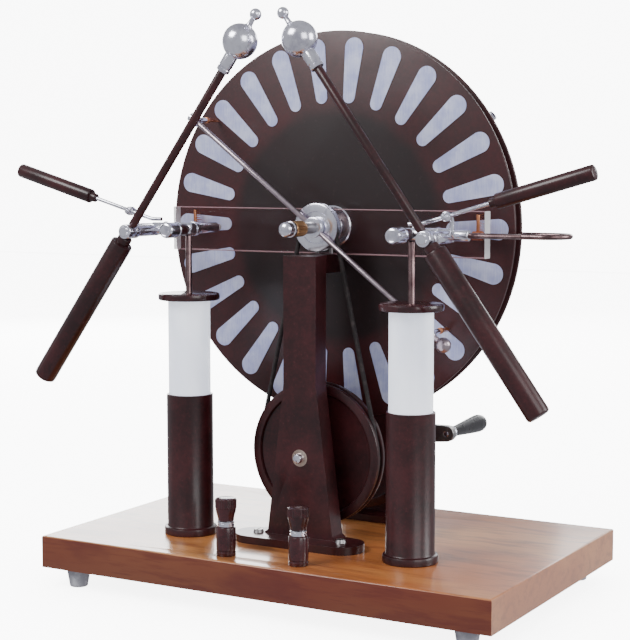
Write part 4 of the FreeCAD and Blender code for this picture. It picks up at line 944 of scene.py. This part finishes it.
@dataclass
class Drive(Assembly):
    """Shaft, two large pulleys, their collars, the crank and the belts."""

    shaft: float = 3.75
    shaft_front: float = -66.5
    shaft_length: float = 151.5
    plane: float = 34.5
    collar: float = 8.0
    collars: tuple[tuple[float, float], ...] = ((-45.1, -40.5), (40.5, 49.6), (67.9, 74.0))
    belt_line: float = 52.0
    cord: float = 1.75
    rim: float = 55.0
    rim_inside: float = 48.0
    boss: float = 12.0
    half: float = 6.0
    web: float = 3.5
    crank: float = 58.0
    rest_angle: float = 3.0
    arm_front: float = 74.0
    arm_back: float = 80.0
    nut_end: float = 85.0
    pin: float = 2.2
    pin_end: float = 143.3
    grip_from: float = 86.0
    grip_length: float = 57.0

    def pulley_profile(self) -> Profile:
        """Section of a large pulley: boss, dished web, rim and round groove."""
        edge = 0.7
        near = [(self.shaft, -self.half), (self.boss - edge, -self.half),
                (self.boss, -self.half + edge), (self.boss + 1.0, -self.web - 0.2),
                (self.boss + 2.2, -self.web), (self.rim_inside - 1.5, -self.web),
                (self.rim_inside - 0.4, -self.web - 0.4), (self.rim_inside, -self.half + edge),
                (self.rim_inside + edge, -self.half), (self.rim - edge, -self.half),
                (self.rim - 0.2, -self.half + 0.2), (self.rim, -self.half + edge),
                (self.rim, -2.9), (self.rim - 0.6, -2.3), (self.belt_line, -self.cord)]
        far = [(radius, -station) for radius, station in reversed(near)]
        return near + arc(self.belt_line, self.cord, -70, 20, 8) + far

    def crank_point(self, y: float) -> Vector:
        """A point of the grip's centre line."""
        angle = math.radians(self.rest_angle)
        return spot(self.crank * math.cos(angle), y, DRIVE_Z + self.crank * math.sin(angle))

    def build(self) -> None:
        """Make the shaft, the pulleys and the crank, and dress the belts."""
        for face in Face:
            side = face.word
            centre = spot(0.0, self.plane * face.value, DRIVE_Z)
            Mould().lathe(self.pulley_profile(), centre, ALONG_Y, 128).release(
                side + "_drive_wheel", "drive", MAROON, "maroon", [side + "_drive_pulley"])
        shaft = Mould()
        r = self.shaft
        nose = [(0.0, -1.5), (r - 1.5, -1.5), (r - 0.6, -1.1), (r, 0.0),
                (r, self.shaft_length - 0.5), (r - 0.5, self.shaft_length), (0.0, self.shaft_length)]
        shaft.lathe(nose, spot(0.0, self.shaft_front, DRIVE_Z), ALONG_Y)
        shaft.release("turned_shaft", "drive", CHROME, "steel", ["drive_shaft"])
        collars = Mould()
        for start, end in self.collars:
            collars.ring(spot(0.0, start, DRIVE_Z), spot(0.0, end, DRIVE_Z), self.collar, r, 0.5)
        ball = [(self.pin, 0.0)]
        ball += [(5.8 * math.cos(a) ** 0.8 if math.cos(a) > 0 else 0.0, 2.85 + 2.85 * math.sin(a))
                 for a in (math.radians(-60 + 15 * k) for k in range(9))]
        ball += [(self.pin, 5.7)]
        collars.lathe(ball, self.crank_point(self.arm_back), ALONG_Y)
        collars.release("collar_set", "drive", CHROME, "chrome", ["shaft_collars"])
        Mould().from_solid("crank_arm", 0.6).release(
            "crank_lever", "drive", STEEL, "steel", ["crank_arm"], FLAT_SHARP)
        pin = Mould()
        pin.bar(self.crank_point(self.arm_front), self.crank_point(self.pin_end), self.pin)
        head = [(0.0, 0.5), (1.2, 0.5), (1.5, 1.8), (2.6, 1.8), (3.4, 0.9), (3.4, 0.0), (0.0, 0.0)]
        pin.lathe(head, self.crank_point(self.pin_end), ALONG_Y, 32)
        pin.fluted(spot(0.0, self.arm_back, DRIVE_Z), spot(0.0, self.nut_end, DRIVE_Z), 6.0, 0.8, 6)
        pin.release("crank_bolt", "drive", CHROME, "steel", ["crank_pin"])
        grip = [(self.pin + 0.06, 0.0), (3.4, 0.0), (4.0, 0.5), (4.1, 3.0), (4.7, 12.0),
                (5.6, 24.0), (6.5, 36.0), (7.1, 45.0), (7.3, 49.0), (7.25, 52.0), (6.7, 55.0),
                (5.6, 56.6), (5.0, self.grip_length), (self.pin + 0.06, self.grip_length)]
        Mould().lathe(grip, self.crank_point(self.grip_from), ALONG_Y).release(
            "turned_grip", "grip", GRIP_BLACK, "black", ["crank_grip"])
        for node in ("front_belt", "rear_belt"):
            PaintShop.coat(node, BELT_RUBBER)


@dataclass
class Neutraliser(Assembly):
    """Two-armed rod with wire brushes at its ends."""

    face: Face
    angle: float = 37.5
    plane: float = 41.5
    bore: float = 3.06
    hub: float = 8.0
    half: float = 2.5
    hair: float = 0.16
    rod: float = 2.0
    upper: float = 140.0
    lower: float = 128.0
    ball: float = 5.8
    peg: float = 2.0
    peg_reach: float = 24.5
    tip: float = 8.0
    wires: int = 22

    def pose(self) -> Matrix:
        """Placement from the level rod in front to its real slant and side."""
        centre = spot(0.0, 0.0, AXIS_Z)
        move = Matrix.Translation(centre)
        slant = Matrix.Rotation(math.radians(self.angle), 4, "Y")
        around = Matrix.Rotation(math.pi if self.face is Face.REAR else 0.0, 4, "Z")
        return move @ around @ slant

    def ends(self) -> tuple[float, float]:
        """Where the brush holders stand along the rod."""
        return (-self.upper + 4.5, self.lower - 4.5)

    def build(self) -> None:
        """Make the hub, arms, holders and brushes."""
        side = self.face.word
        body = side + "_neutral"
        y = -self.plane
        pose = self.pose()
        hub = Mould()
        near = [(self.bore, -self.half), (self.hub - 0.9, -self.half),
                (self.hub - 0.2, -self.half + 0.3), (self.hub, -self.half + 1.0)]
        hub.lathe(mirrored(near), Vector((0.0, y, 0.0)), ALONG_Y, 72)
        hub.turned_by(pose).release(side + "_rod_hub", body, CHROME, "chrome",
                                    [body + "_hub"])
        rod = Mould()
        ball_at = self.lower + 3.6 + self.ball
        rod.bar(Vector((-self.upper + 3.6, y, 0.0)), Vector((-4.0, y, 0.0)), self.rod, 0.5, 24)
        rod.bar(Vector((4.0, y, 0.0)), Vector((ball_at, y, 0.0)), self.rod, 0.5, 24)
        rod.ball(Vector((ball_at, y, 0.0)), self.ball, 40)
        rod.turned_by(pose).release(side + "_rod_arms", body, SATIN, "chrome", [body + "_rod"])
        holders = Mould()
        brushes = Mould()
        chance = random.Random(7 if self.face is Face.FRONT else 11)
        for x in self.ends():
            holders.ring(Vector((x - 4.5, y, 0.0)), Vector((x + 4.5, y, 0.0)), 3.6, self.rod)
            holders.bar(Vector((x, y + 2.5, 0.0)), Vector((x, -self.peg_reach, 0.0)), self.peg,
                        0.3, 24)
            for _ in range(self.wires):
                turn = chance.uniform(0.0, 2 * math.pi)
                share = chance.random() ** 0.5
                root = Vector((x + 1.4 * share * math.cos(turn), -self.peg_reach - 0.6,
                               1.4 * share * math.sin(turn)))
                spread = 2.4 * share
                end = Vector((x + spread * math.cos(turn), -self.tip - chance.uniform(0.0, 1.6),
                              0.5 * spread * math.sin(turn)))
                brushes.wire(root, end, self.hair)
            brushes.ring(Vector((x, -self.peg_reach - 0.4, 0.0)),
                         Vector((x, -self.peg_reach + 2.6, 0.0)), 2.4, 1.2, 0.2, 24)
        holders.turned_by(pose).release(side + "_brush_holders", body, CHROME, "chrome",
                                        [body + "_holders"])
        brushes.turned_by(pose).release(side + "_wire_brushes", body, COPPER, "copper",
                                        [body + "_brushes"])


@dataclass
class Jars(Assembly):
    """Storage jars: cup, milky tube, lid and rod, on both sides."""

    x: float = 96.0
    y: float = -68.0
    flange: float = 20.5
    cup: float = 18.0
    cup_height: float = 110.0
    tube: float = 16.3
    tube_top: float = 183.4
    lid: float = 23.75
    lid_thick: float = 5.1
    rod: float = 2.5
    rod_top: float = 233.0
    liner: float = 14.25
    liner_top: float = 100.0

    def build(self) -> None:
        """Make the four turned pieces of both jars."""
        cups, tubes, lids, rods = Mould(), Mould(), Mould(), Mould()
        for side in Side:
            base = spot(self.x * side.value, self.y, BOARD_TOP)
            cups.lathe([(0.0, 0.0), (self.flange - 0.4, 0.0), (self.flange, 0.6),
                        (self.flange, 4.4), (self.flange - 0.5, 5.5), (self.flange - 1.4, 6.0),
                        (self.cup + 0.5, 6.2), (self.cup, 7.0), (self.cup, self.cup_height - 0.5),
                        (self.cup - 0.5, self.cup_height), (self.tube, self.cup_height),
                        (self.tube, 2.0), (0.0, 2.0)], base, ALONG_Z, 72)
            tubes.lathe([(0.0, 2.0), (self.tube - 0.05, 2.0), (self.tube - 0.05, self.tube_top),
                         (14.3, self.tube_top), (14.3, 4.0), (0.0, 4.0)], base, ALONG_Z, 72)
            top = base + ALONG_Z * self.tube_top
            lids.lathe([(self.rod, -8.0), (14.2, -8.0), (14.2, 0.0), (self.lid - 1.0, 0.0),
                        (self.lid - 0.2, 0.4), (self.lid, 1.2), (self.lid, self.lid_thick - 1.4),
                        (self.lid - 0.3, self.lid_thick - 0.5),
                        (self.lid - 1.2, self.lid_thick), (self.rod, self.lid_thick)],
                       top, ALONG_Z, 84)
            rods.bar(base + ALONG_Z * 4.5, base + ALONG_Z * self.rod_top, self.rod, 0.3, 32)
            rods.ring(base + ALONG_Z * 4.0, base + ALONG_Z * self.liner_top, self.liner,
                      self.liner - 0.45)
        cups.release("jar_sleeves", "frame", MAROON, "maroon", ["jar_cups"])
        tubes.release("jar_milky_tubes", "frame", MILK, "frosted", ["jar_tubes"])
        lids.release("jar_caps", "frame", MAROON_SATIN, "maroon", ["jar_lids"])
        rods.release("jar_stems", "frame", SMOKED, "chrome", ["jar_rods"])


@dataclass
class Terminals(Assembly):
    """Conductors on the jars, their knobs and sleeves, pivot posts and lever stands."""

    x: float = 96.0
    y: float = -68.0
    z: float = 278.0
    along: Runs = ((91.0, 129.0, 5.0, 0.8), (128.0, 141.0, 4.0, 0.6))
    across: Runs = ((-84.0, -68.0, 2.5, 0.3), (-68.0, -30.0, 4.0, 0.3), (-31.0, -25.0, 2.4, 0.3),
                    (-63.0, -58.0, 5.5, 0.7))
    pivot_x: float = 125.5
    pivot_z: float = 277.0
    hinge_x: float = 134.0
    hinge_z: float = 292.1

    def build(self) -> None:
        """Make the fixed metal work on both sides."""
        rods, knobs, sleeves, posts, stands = Mould(), Mould(), Mould(), Mould(), Mould()
        for side in Side:
            s = side.value

            def at(x: float, y: float, z: float = self.z) -> Vector:
                """A point on this side."""
                return spot(x * s, y, z)

            for start, end, radius, edge in self.along:
                rods.bar(at(start, self.y), at(end, self.y), radius, edge)
            for start, end, radius, edge in self.across:
                rods.bar(at(self.x, start), at(self.x, end), radius, edge)
            rods.ring(at(116.0, self.y), at(118.0, self.y), 5.6, 4.6, 0.4)
            knobs.lathe([(0.0, 0.0), (5.4, 0.0), (6.0, 0.6), (6.0, 2.2), (5.6, 2.6), (5.6, 3.2),
                         (6.0, 3.6), (6.0, 13.2), (5.8, 14.4), (5.2, 15.4), (4.2, 15.9),
                         (3.6, 15.6), (0.0, 15.4)], at(self.x, -84.0), -ALONG_Y, 56)
            sleeves.ring(at(self.x, -84.0), at(self.x, -73.0), 4.25, 2.5, 0.4)
            posts.bar(at(self.pivot_x, -96.7, self.pivot_z), at(self.pivot_x, -68.0, self.pivot_z),
                      4.5, 0.6)
            posts.bar(at(self.pivot_x, -102.0, self.pivot_z), at(self.pivot_x, -96.0, self.pivot_z),
                      2.4, 0.2)
            knee = [at(self.hinge_x, self.y), at(self.hinge_x, -82.0),
                    at(self.hinge_x, -82.0, self.hinge_z), at(self.hinge_x, -88.2, self.hinge_z)]
            stands.bent(knee, 1.6, 4.0)
            stands.bar(at(self.hinge_x, -97.0, self.hinge_z), at(self.hinge_x, -88.0, self.hinge_z),
                       1.2, 0.2, 24)
            stands.fluted(at(self.hinge_x, -93.8, self.hinge_z),
                          at(self.hinge_x, -96.2, self.hinge_z), 2.5, 0.25, 6)
        rods.release("conductor_rods", "frame", CHROME, "chrome", ["conductors"])
        knobs.release("polished_knobs", "frame", CHROME, "chrome", ["terminal_knobs"])
        sleeves.release("dark_sleeves", "frame", MAROON, "maroon", ["terminal_sleeves"])
        posts.release("pivot_studs", "frame", CHROME, "chrome", ["pivot_posts"])
        stands.release("lever_brackets", "frame", CHROME, "chrome", ["lever_stands"])


@dataclass
class Collectors(Assembly):
    """Forked rods round the discs with wire combs."""

    leg: float = 16.0
    bend_x: float = 173.0
    inner_x: float = 117.0
    z: float = 275.5
    radius: float = 2.0
    comb_x: float = 124.5
    comb_top: float = 292.0
    hair: float = 0.2
    wires: int = 26

    def build(self) -> None:
        """Make the forks and the combs of both sides."""
        combs = Mould()
        chance = random.Random(23)
        for side in Side:
            s = side.value
            name = side.word
            fork = Mould()
            tip = self.bend_x + self.leg
            corners = [spot(x * s, y, self.z) for x, y in
                       ((self.inner_x, -self.leg), (tip, -self.leg), (tip, self.leg),
                        (self.inner_x, self.leg))]
            fork.bent(corners, self.radius, self.leg - 0.01, 8)
            strut = [spot(137.0 * s, -68.0, 278.0), spot(145.0 * s, -68.0, 278.0),
                     spot(158.0 * s, -self.leg, self.z)]
            fork.bent(strut, self.radius, 4.0, 8)
            fork.release(name + "_fork", "frame", SMOKED, "chrome", [name + "_collector"])
            for way in (-1, 1):
                y = self.leg * way
                combs.ring(spot((self.comb_x - 4) * s, y, self.z),
                           spot((self.comb_x + 4) * s, y, self.z), 3.4, self.radius, 0.4, 32)
                combs.bar(spot(self.comb_x * s, y, self.z + 3.0),
                          spot(self.comb_x * s, y, self.comb_top - 1), 1.3, 0.3, 16)
                rise = self.comb_top - self.z - 4.6
                for number in range(self.wires):
                    height = self.z + 3.4 + rise * number / (self.wires - 1)
                    start = spot((self.comb_x + chance.uniform(-0.8, 0.8)) * s, y, height)
                    reach = 8.8 + chance.uniform(0.0, 1.0)
                    end = spot((self.comb_x + chance.uniform(-2.0, 2.0)) * s, reach * way,
                               height + chance.uniform(-0.8, 0.8))
                    combs.wire(start, end, self.hair)
        combs.release("wire_combs", "frame", COPPER, "copper", ["combs"])


@dataclass
class Electrode(Assembly):
    """Swinging spark rod with its balls, sleeve, handle and clamp."""

    side: Side
    pivot_x: float = 125.5
    plane: float = -105.0
    pivot_z: float = 277.0
    angle: float = 54.2
    rod: float = 2.25
    sleeve: float = 3.25
    ball_at: float = 172.0
    ball: float = 13.0
    small_at: float = 195.0
    small: float = 4.35
    handle: float = 8.5
    handle_end: float = 144.0
    rod_end: float = 138.0
    clamp: float = 5.6
    ferrule_from: float = 146.2

    def direction(self) -> Vector:
        """Unit vector from the pivot to the ball."""
        angle = math.radians(self.angle)
        return Vector((-self.side.value * math.cos(angle), 0.0, math.sin(angle)))

    def at(self, distance: float) -> Vector:
        """A point of the rod's centre line."""
        pivot = spot(self.pivot_x * self.side.value, self.plane, self.pivot_z)
        return pivot + self.direction() * distance

    def build(self) -> None:
        """Make the clamp, the metal rod and the plastic parts."""
        name = self.side.word
        body = name + "_electrode"
        way = self.direction()
        metal = Mould()
        metal.bar(self.at(-self.rod_end), self.at(160.0), self.rod, 0.3, 24)
        metal.ball(self.at(self.ball_at), self.ball, 64)
        metal.lathe([(0.0, 0.0), (4.6, 0.0), (5.0, 0.4), (5.0, 2.6), (4.6, 3.0), (4.6, 4.2),
                     (5.0, 4.6), (5.0, 13.6), (4.4, 15.4), (0.0, 15.4)],
                    self.at(self.ferrule_from), way, 40)
        stem = [(0.0, 0.0), (3.2, 0.0), (3.2, 1.4), (2.6, 1.9), (2.1, 3.0), (1.9, 6.0), (1.9, 9.0),
                (0.0, 9.0)]
        metal.lathe(stem, self.at(self.ball_at + 11.6), way, 32)
        metal.ball(self.at(self.small_at), self.small, 40)
        metal.release(name + "_spark_rod", body, CHROME, "chrome", [body + "_rod"])
        plastic = Mould()
        plastic.ring(self.at(self.clamp), self.at(self.ferrule_from), self.sleeve, self.rod,
                     0.3, 36)
        grip = [(self.rod, self.clamp), (5.2, self.clamp), (5.5, self.clamp + 0.4), (5.5, 11.0),
                (self.handle - 1.2, 11.0), (self.handle - 0.3, 11.4), (self.handle, 12.4),
                (self.handle, 141.6), (self.handle - 0.3, 143.2),
                (self.handle - 1.4, self.handle_end), (0.0, self.handle_end),
                (0.0, self.rod_end), (self.rod, self.rod_end)]
        plastic.lathe(grip, self.at(0.0), -way, 48)
        plastic.release(name + "_spark_handle", body, MAROON, "maroon", [body + "_handle"])
        clamp = Mould()
        pivot = self.at(0.0)
        clamp.ring(pivot + ALONG_Y * 8.0, pivot + ALONG_Y * 2.4, self.clamp, 2.46, 0.6)
        clamp.bar(pivot + ALONG_Y * 2.5, pivot - ALONG_Y * 6.4, self.clamp, 0.8, 48)
        clamp.fluted(pivot - ALONG_Y * 6.2, pivot - ALONG_Y * 8.0, 3.9, 0.3, 24)
        clamp.release(name + "_clamp_barrel", body, CHROME, "chrome", [body + "_clamp"])


@dataclass
class Lever(Assembly):
    """Side lever: bent wire on a hinge, with a turned grip."""

    side: Side
    plane: float = -91.0
    hinge_x: float = 134.0
    hinge_z: float = 292.1
    slope: float = 16.1
    flat_x: float = 114.0
    tip_x: float = 105.0
    eye: float = 3.4
    wire: float = 1.5
    grip_from: float = 34.0
    grip_to: float = 111.5
    grip: float = 5.5

    def at(self, distance: float) -> Vector:
        """A point of the sloping part."""
        slope = math.radians(self.slope)
        x = self.hinge_x + distance * math.cos(slope)
        return spot(x * self.side.value, self.plane, self.hinge_z + distance * math.sin(slope))

    def build(self) -> None:
        """Make the wire with its eye, and the grip."""
        name = self.side.word
        body = name + "_lever"
        slope = math.radians(self.slope)
        corner = self.at((self.flat_x - self.hinge_x) / math.cos(slope))
        tip = Vector((self.side.value * self.tip_x, corner.y, corner.z))
        wire = Mould()
        wire.bent([tip, corner, self.at(0.3 - self.eye)], self.wire, 10.0, 8)
        wire.bar(self.at(self.eye - 0.3), self.at(100.0), self.wire, 0.2, 24)
        hinge = self.at(0.0)
        wire.ring(hinge - ALONG_Y * 2.5, hinge + ALONG_Y * 2.5, self.eye, 1.26, 0.5)
        wire.release(name + "_lever_wire", body, CHROME, "chrome", [body + "_rod"])
        length = self.grip_to - self.grip_from
        r = self.grip
        profile = [(self.wire, 0.0), (3.1, 0.0), (3.4, 0.4), (3.4, 4.6), (3.6, 5.0),
                   (r - 0.8, 5.0), (r - 0.2, 5.3), (r, 6.0), (r, length - 1.2),
                   (r - 0.3, length - 0.4), (r - 1.0, length), (0.0, length),
                   (0.0, length - 6.0), (self.wire, length - 6.0)]
        way = (self.at(1.0) - self.at(0.0)).normalized()
        Mould().lathe(profile, self.at(self.grip_from), way, 40).release(
            name + "_lever_handle", body, MAROON, "maroon", [body + "_grip"])


@dataclass
class BindingPosts(Assembly):
    """Insulated posts with metal rings and screw knobs."""

    x: float = 31.0
    y: float = -118.0
    body: float = 7.3
    height: float = 21.5
    ring: float = 6.2
    ring_height: float = 4.2
    knob: float = 8.0

    def build(self) -> None:
        """Make the posts and their knobs."""
        bodies, studs = Mould(), Mould()
        for side in Side:
            base = spot(self.x * side.value, self.y, BOARD_TOP)
            top = base + ALONG_Z * self.height
            bodies.lathe([(2.0, 0.0), (self.body - 0.2, 0.0), (self.body, 0.5),
                          (self.body, 2.6), (self.body - 0.5, 3.1), (self.body - 0.5, 3.8),
                          (self.body, 4.3), (self.body, self.height - 1.2),
                          (self.body - 0.4, self.height - 0.3), (self.body - 1.2, self.height),
                          (2.0, self.height)], base, ALONG_Z, 48)
            studs.lathe([(0.0, 0.0), (5.6, 0.0), (self.ring, 0.6), (self.ring, 1.5),
                         (5.6, 1.9), (5.6, 2.3), (self.ring, 2.7), (self.ring, 3.6),
                         (5.6, self.ring_height), (0.0, self.ring_height)], top, ALONG_Z, 40)
            studs.bar(base - ALONG_Z * 4.2, top + ALONG_Z * 13.0, 2.0, 0.2, 24)
            name = side.word
            floor = top + ALONG_Z * (self.ring_height + 0.3)
            knob = Mould()
            knob.lathe([(2.06, 0.0), (5.6, 0.0), (6.0, 0.4), (6.0, 2.1), (6.7, 4.6), (7.5, 7.6),
                        (7.6, 9.6), (0.0, 9.6), (0.0, 8.8), (2.06, 8.8)], floor, ALONG_Z, 48)
            knob.fluted(floor + ALONG_Z * 9.4, floor + ALONG_Z * 16.2, self.knob, 0.3, 34)
            knob.lathe([(0.0, 0.0), (7.3, 0.0), (7.2, 0.4), (6.4, 0.8), (0.0, 0.8)],
                       floor + ALONG_Z * 16.1, ALONG_Z, 48)
            knob.release(name + "_screw_knob", name + "_post_knob", MAROON_SATIN, "maroon",
                         [name + "_binding_knob"])
        bodies.release("post_bodies", "frame", MAROON_SATIN, "maroon", ["binding_bodies"])
        studs.release("post_rings", "frame", CHROME, "chrome", ["binding_studs"])


@dataclass
class Studio(Assembly):
    """Floor, lights and camera."""

    height: int = 640
    focal_px: float = 1629.97
    camera: tuple[float, float, float] = (0.6125, -1.11945, 0.33096)
    right: tuple[float, float, float] = (0.86905, 0.49472, -0.00085)
    up: tuple[float, float, float] = (-0.04757, 0.08528, 0.99522)
    forward: tuple[float, float, float] = (-0.49243, 0.86486, -0.09765)
    paper_colour: Colour = field(default_factory=lambda: tint(252, 252, 252))

    def paper(self, name: str, half: float, place: Matrix, glow: float, shade: float) -> None:
        """One plain sheet that only the camera sees glowing, darkened near the machine by a painted
        shadow.

        Args:
            name: Its name.
            half: Half its side, in metres.
            place: Where it lies.
            glow: Strength of its glow.
            shade: How strongly the painted shadow darkens the glow close to the machine.
        """
        mesh = bpy.data.meshes.new(name)
        sheet = bmesh.new()
        bmesh.ops.create_grid(sheet, x_segments=1, y_segments=1, size=half)
        sheet.transform(place)
        sheet.to_mesh(mesh)
        sheet.free()
        board = NodeBoard(name)
        cloud = board.cloud(2.0, 2.0)
        colour = board.blend(cloud * 0.15, self.paper_colour, tint(246, 246, 247))
        # Ambient occlusion darkens the glow next to the machine towards grey: a painted shadow.
        open_sky = board.add("ShaderNodeAmbientOcclusion", {"samples": 8}, {"Distance": 0.09}, "AO")
        soft = board.blend((1.0 - open_sky) * shade, colour, tint(60, 60, 66))
        mesh.materials.append(board.close({"Base Color": colour, "Roughness": 0.85 + cloud * 0.1,
                                           "Emission Color": soft, "Emission Strength": glow}))
        piece = bpy.data.objects.new(name, mesh)
        bpy.context.scene.collection.objects.link(piece)
        piece.visible_diffuse = False
        piece.visible_glossy = False

    def lamp(self, name: str, place: tuple[float, float, float], aim: tuple[float, float, float],
             size: tuple[float, float], power: float) -> None:
        """One soft lamp.

        Args:
            name: Its name.
            place: Where it hangs, in metres.
            aim: What it points at.
            size: Width and height of its panel, in metres.
            power: Its strength in watts.
        """
        light = bpy.data.lights.new(name, "AREA")
        light.shape = "RECTANGLE"
        light.size, light.size_y = size
        light.energy = power
        holder = bpy.data.objects.new(name, light)
        bpy.context.scene.collection.objects.link(holder)
        holder.location = place
        holder.visible_camera = False
        look = Vector(aim) - Vector(place)
        holder.rotation_euler = look.to_track_quat("-Z", "Y").to_euler()

    def sky(self) -> None:
        """Even white surroundings."""
        world = bpy.data.worlds.new("studio")
        world.use_nodes = True
        back = world.node_tree.nodes["Background"]
        back.inputs["Color"].default_value = (0.92, 0.93, 1.0, 1.0)
        back.inputs["Strength"].default_value = 0.5
        bpy.context.scene.world = world

    def shoot_from(self) -> None:
        """Camera at the photograph's viewpoint."""
        data = bpy.data.cameras.new("view")
        data.sensor_fit = "VERTICAL"
        data.sensor_height = 36.0
        data.lens = 36.0 * self.focal_px / self.height
        data.clip_end = 50.0
        camera = bpy.data.objects.new("view", data)
        bpy.context.scene.collection.objects.link(camera)
        columns = [Vector(self.right), Vector(self.up), -Vector(self.forward)]
        turn = Matrix([[column[row] for column in columns] for row in range(3)]).to_4x4()
        camera.matrix_world = Matrix.Translation(self.camera) @ turn
        bpy.context.scene.camera = camera

    def build(self) -> None:
        """Set up the whole studio."""
        self.paper("floor", 40.0, Matrix.Identity(4), 9.0, 0.35)
        upright = Matrix.Translation((-1.5, 3.5, 0.0)) @ Matrix.Rotation(math.pi / 2, 4, "X")
        self.paper("backdrop", 6.0, upright, 9.0, 0.0)
        self.sky()
        self.lamp("key", (-1.0, -1.7, 1.9), (0.0, 0.0, 0.2), (1.3, 1.1), 52.0)
        self.lamp("fill", (1.9, -1.1, 1.0), (0.0, 0.0, 0.2), (1.2, 1.2), 16.0)
        self.lamp("glare", (-1.45, 1.5, 0.62), (-0.15, 0.0, 0.05), (1.3, 0.7), 26.0)
        self.lamp("back", (-0.1, 2.1, 0.75), (0.1, 0.0, 0.05), (1.0, 0.6), 9.0)
        self.lamp("side", (2.0, 0.7, 0.8), (0.1, 0.0, 0.1), (1.0, 1.0), 24.0)
        self.shoot_from()


def main() -> None:
    """Build every sub-assembly in order."""
    logging.basicConfig(level=logging.INFO, format="%(message)s")
    assemblies: list[Assembly] = [
        Studio(), Board(), Frame(), AxleStack(), Disc(Face.FRONT), Disc(Face.REAR, spool=16.5),
        Drive(), *map(Neutraliser, Face), Jars(), Terminals(), Collectors(),
        *map(Electrode, Side), *map(Lever, Side), BindingPosts()]
    for assembly in assemblies:
        assembly.build()
        LOG.info("%s built", type(assembly).__name__)


if __name__ == "__main__":
    main()
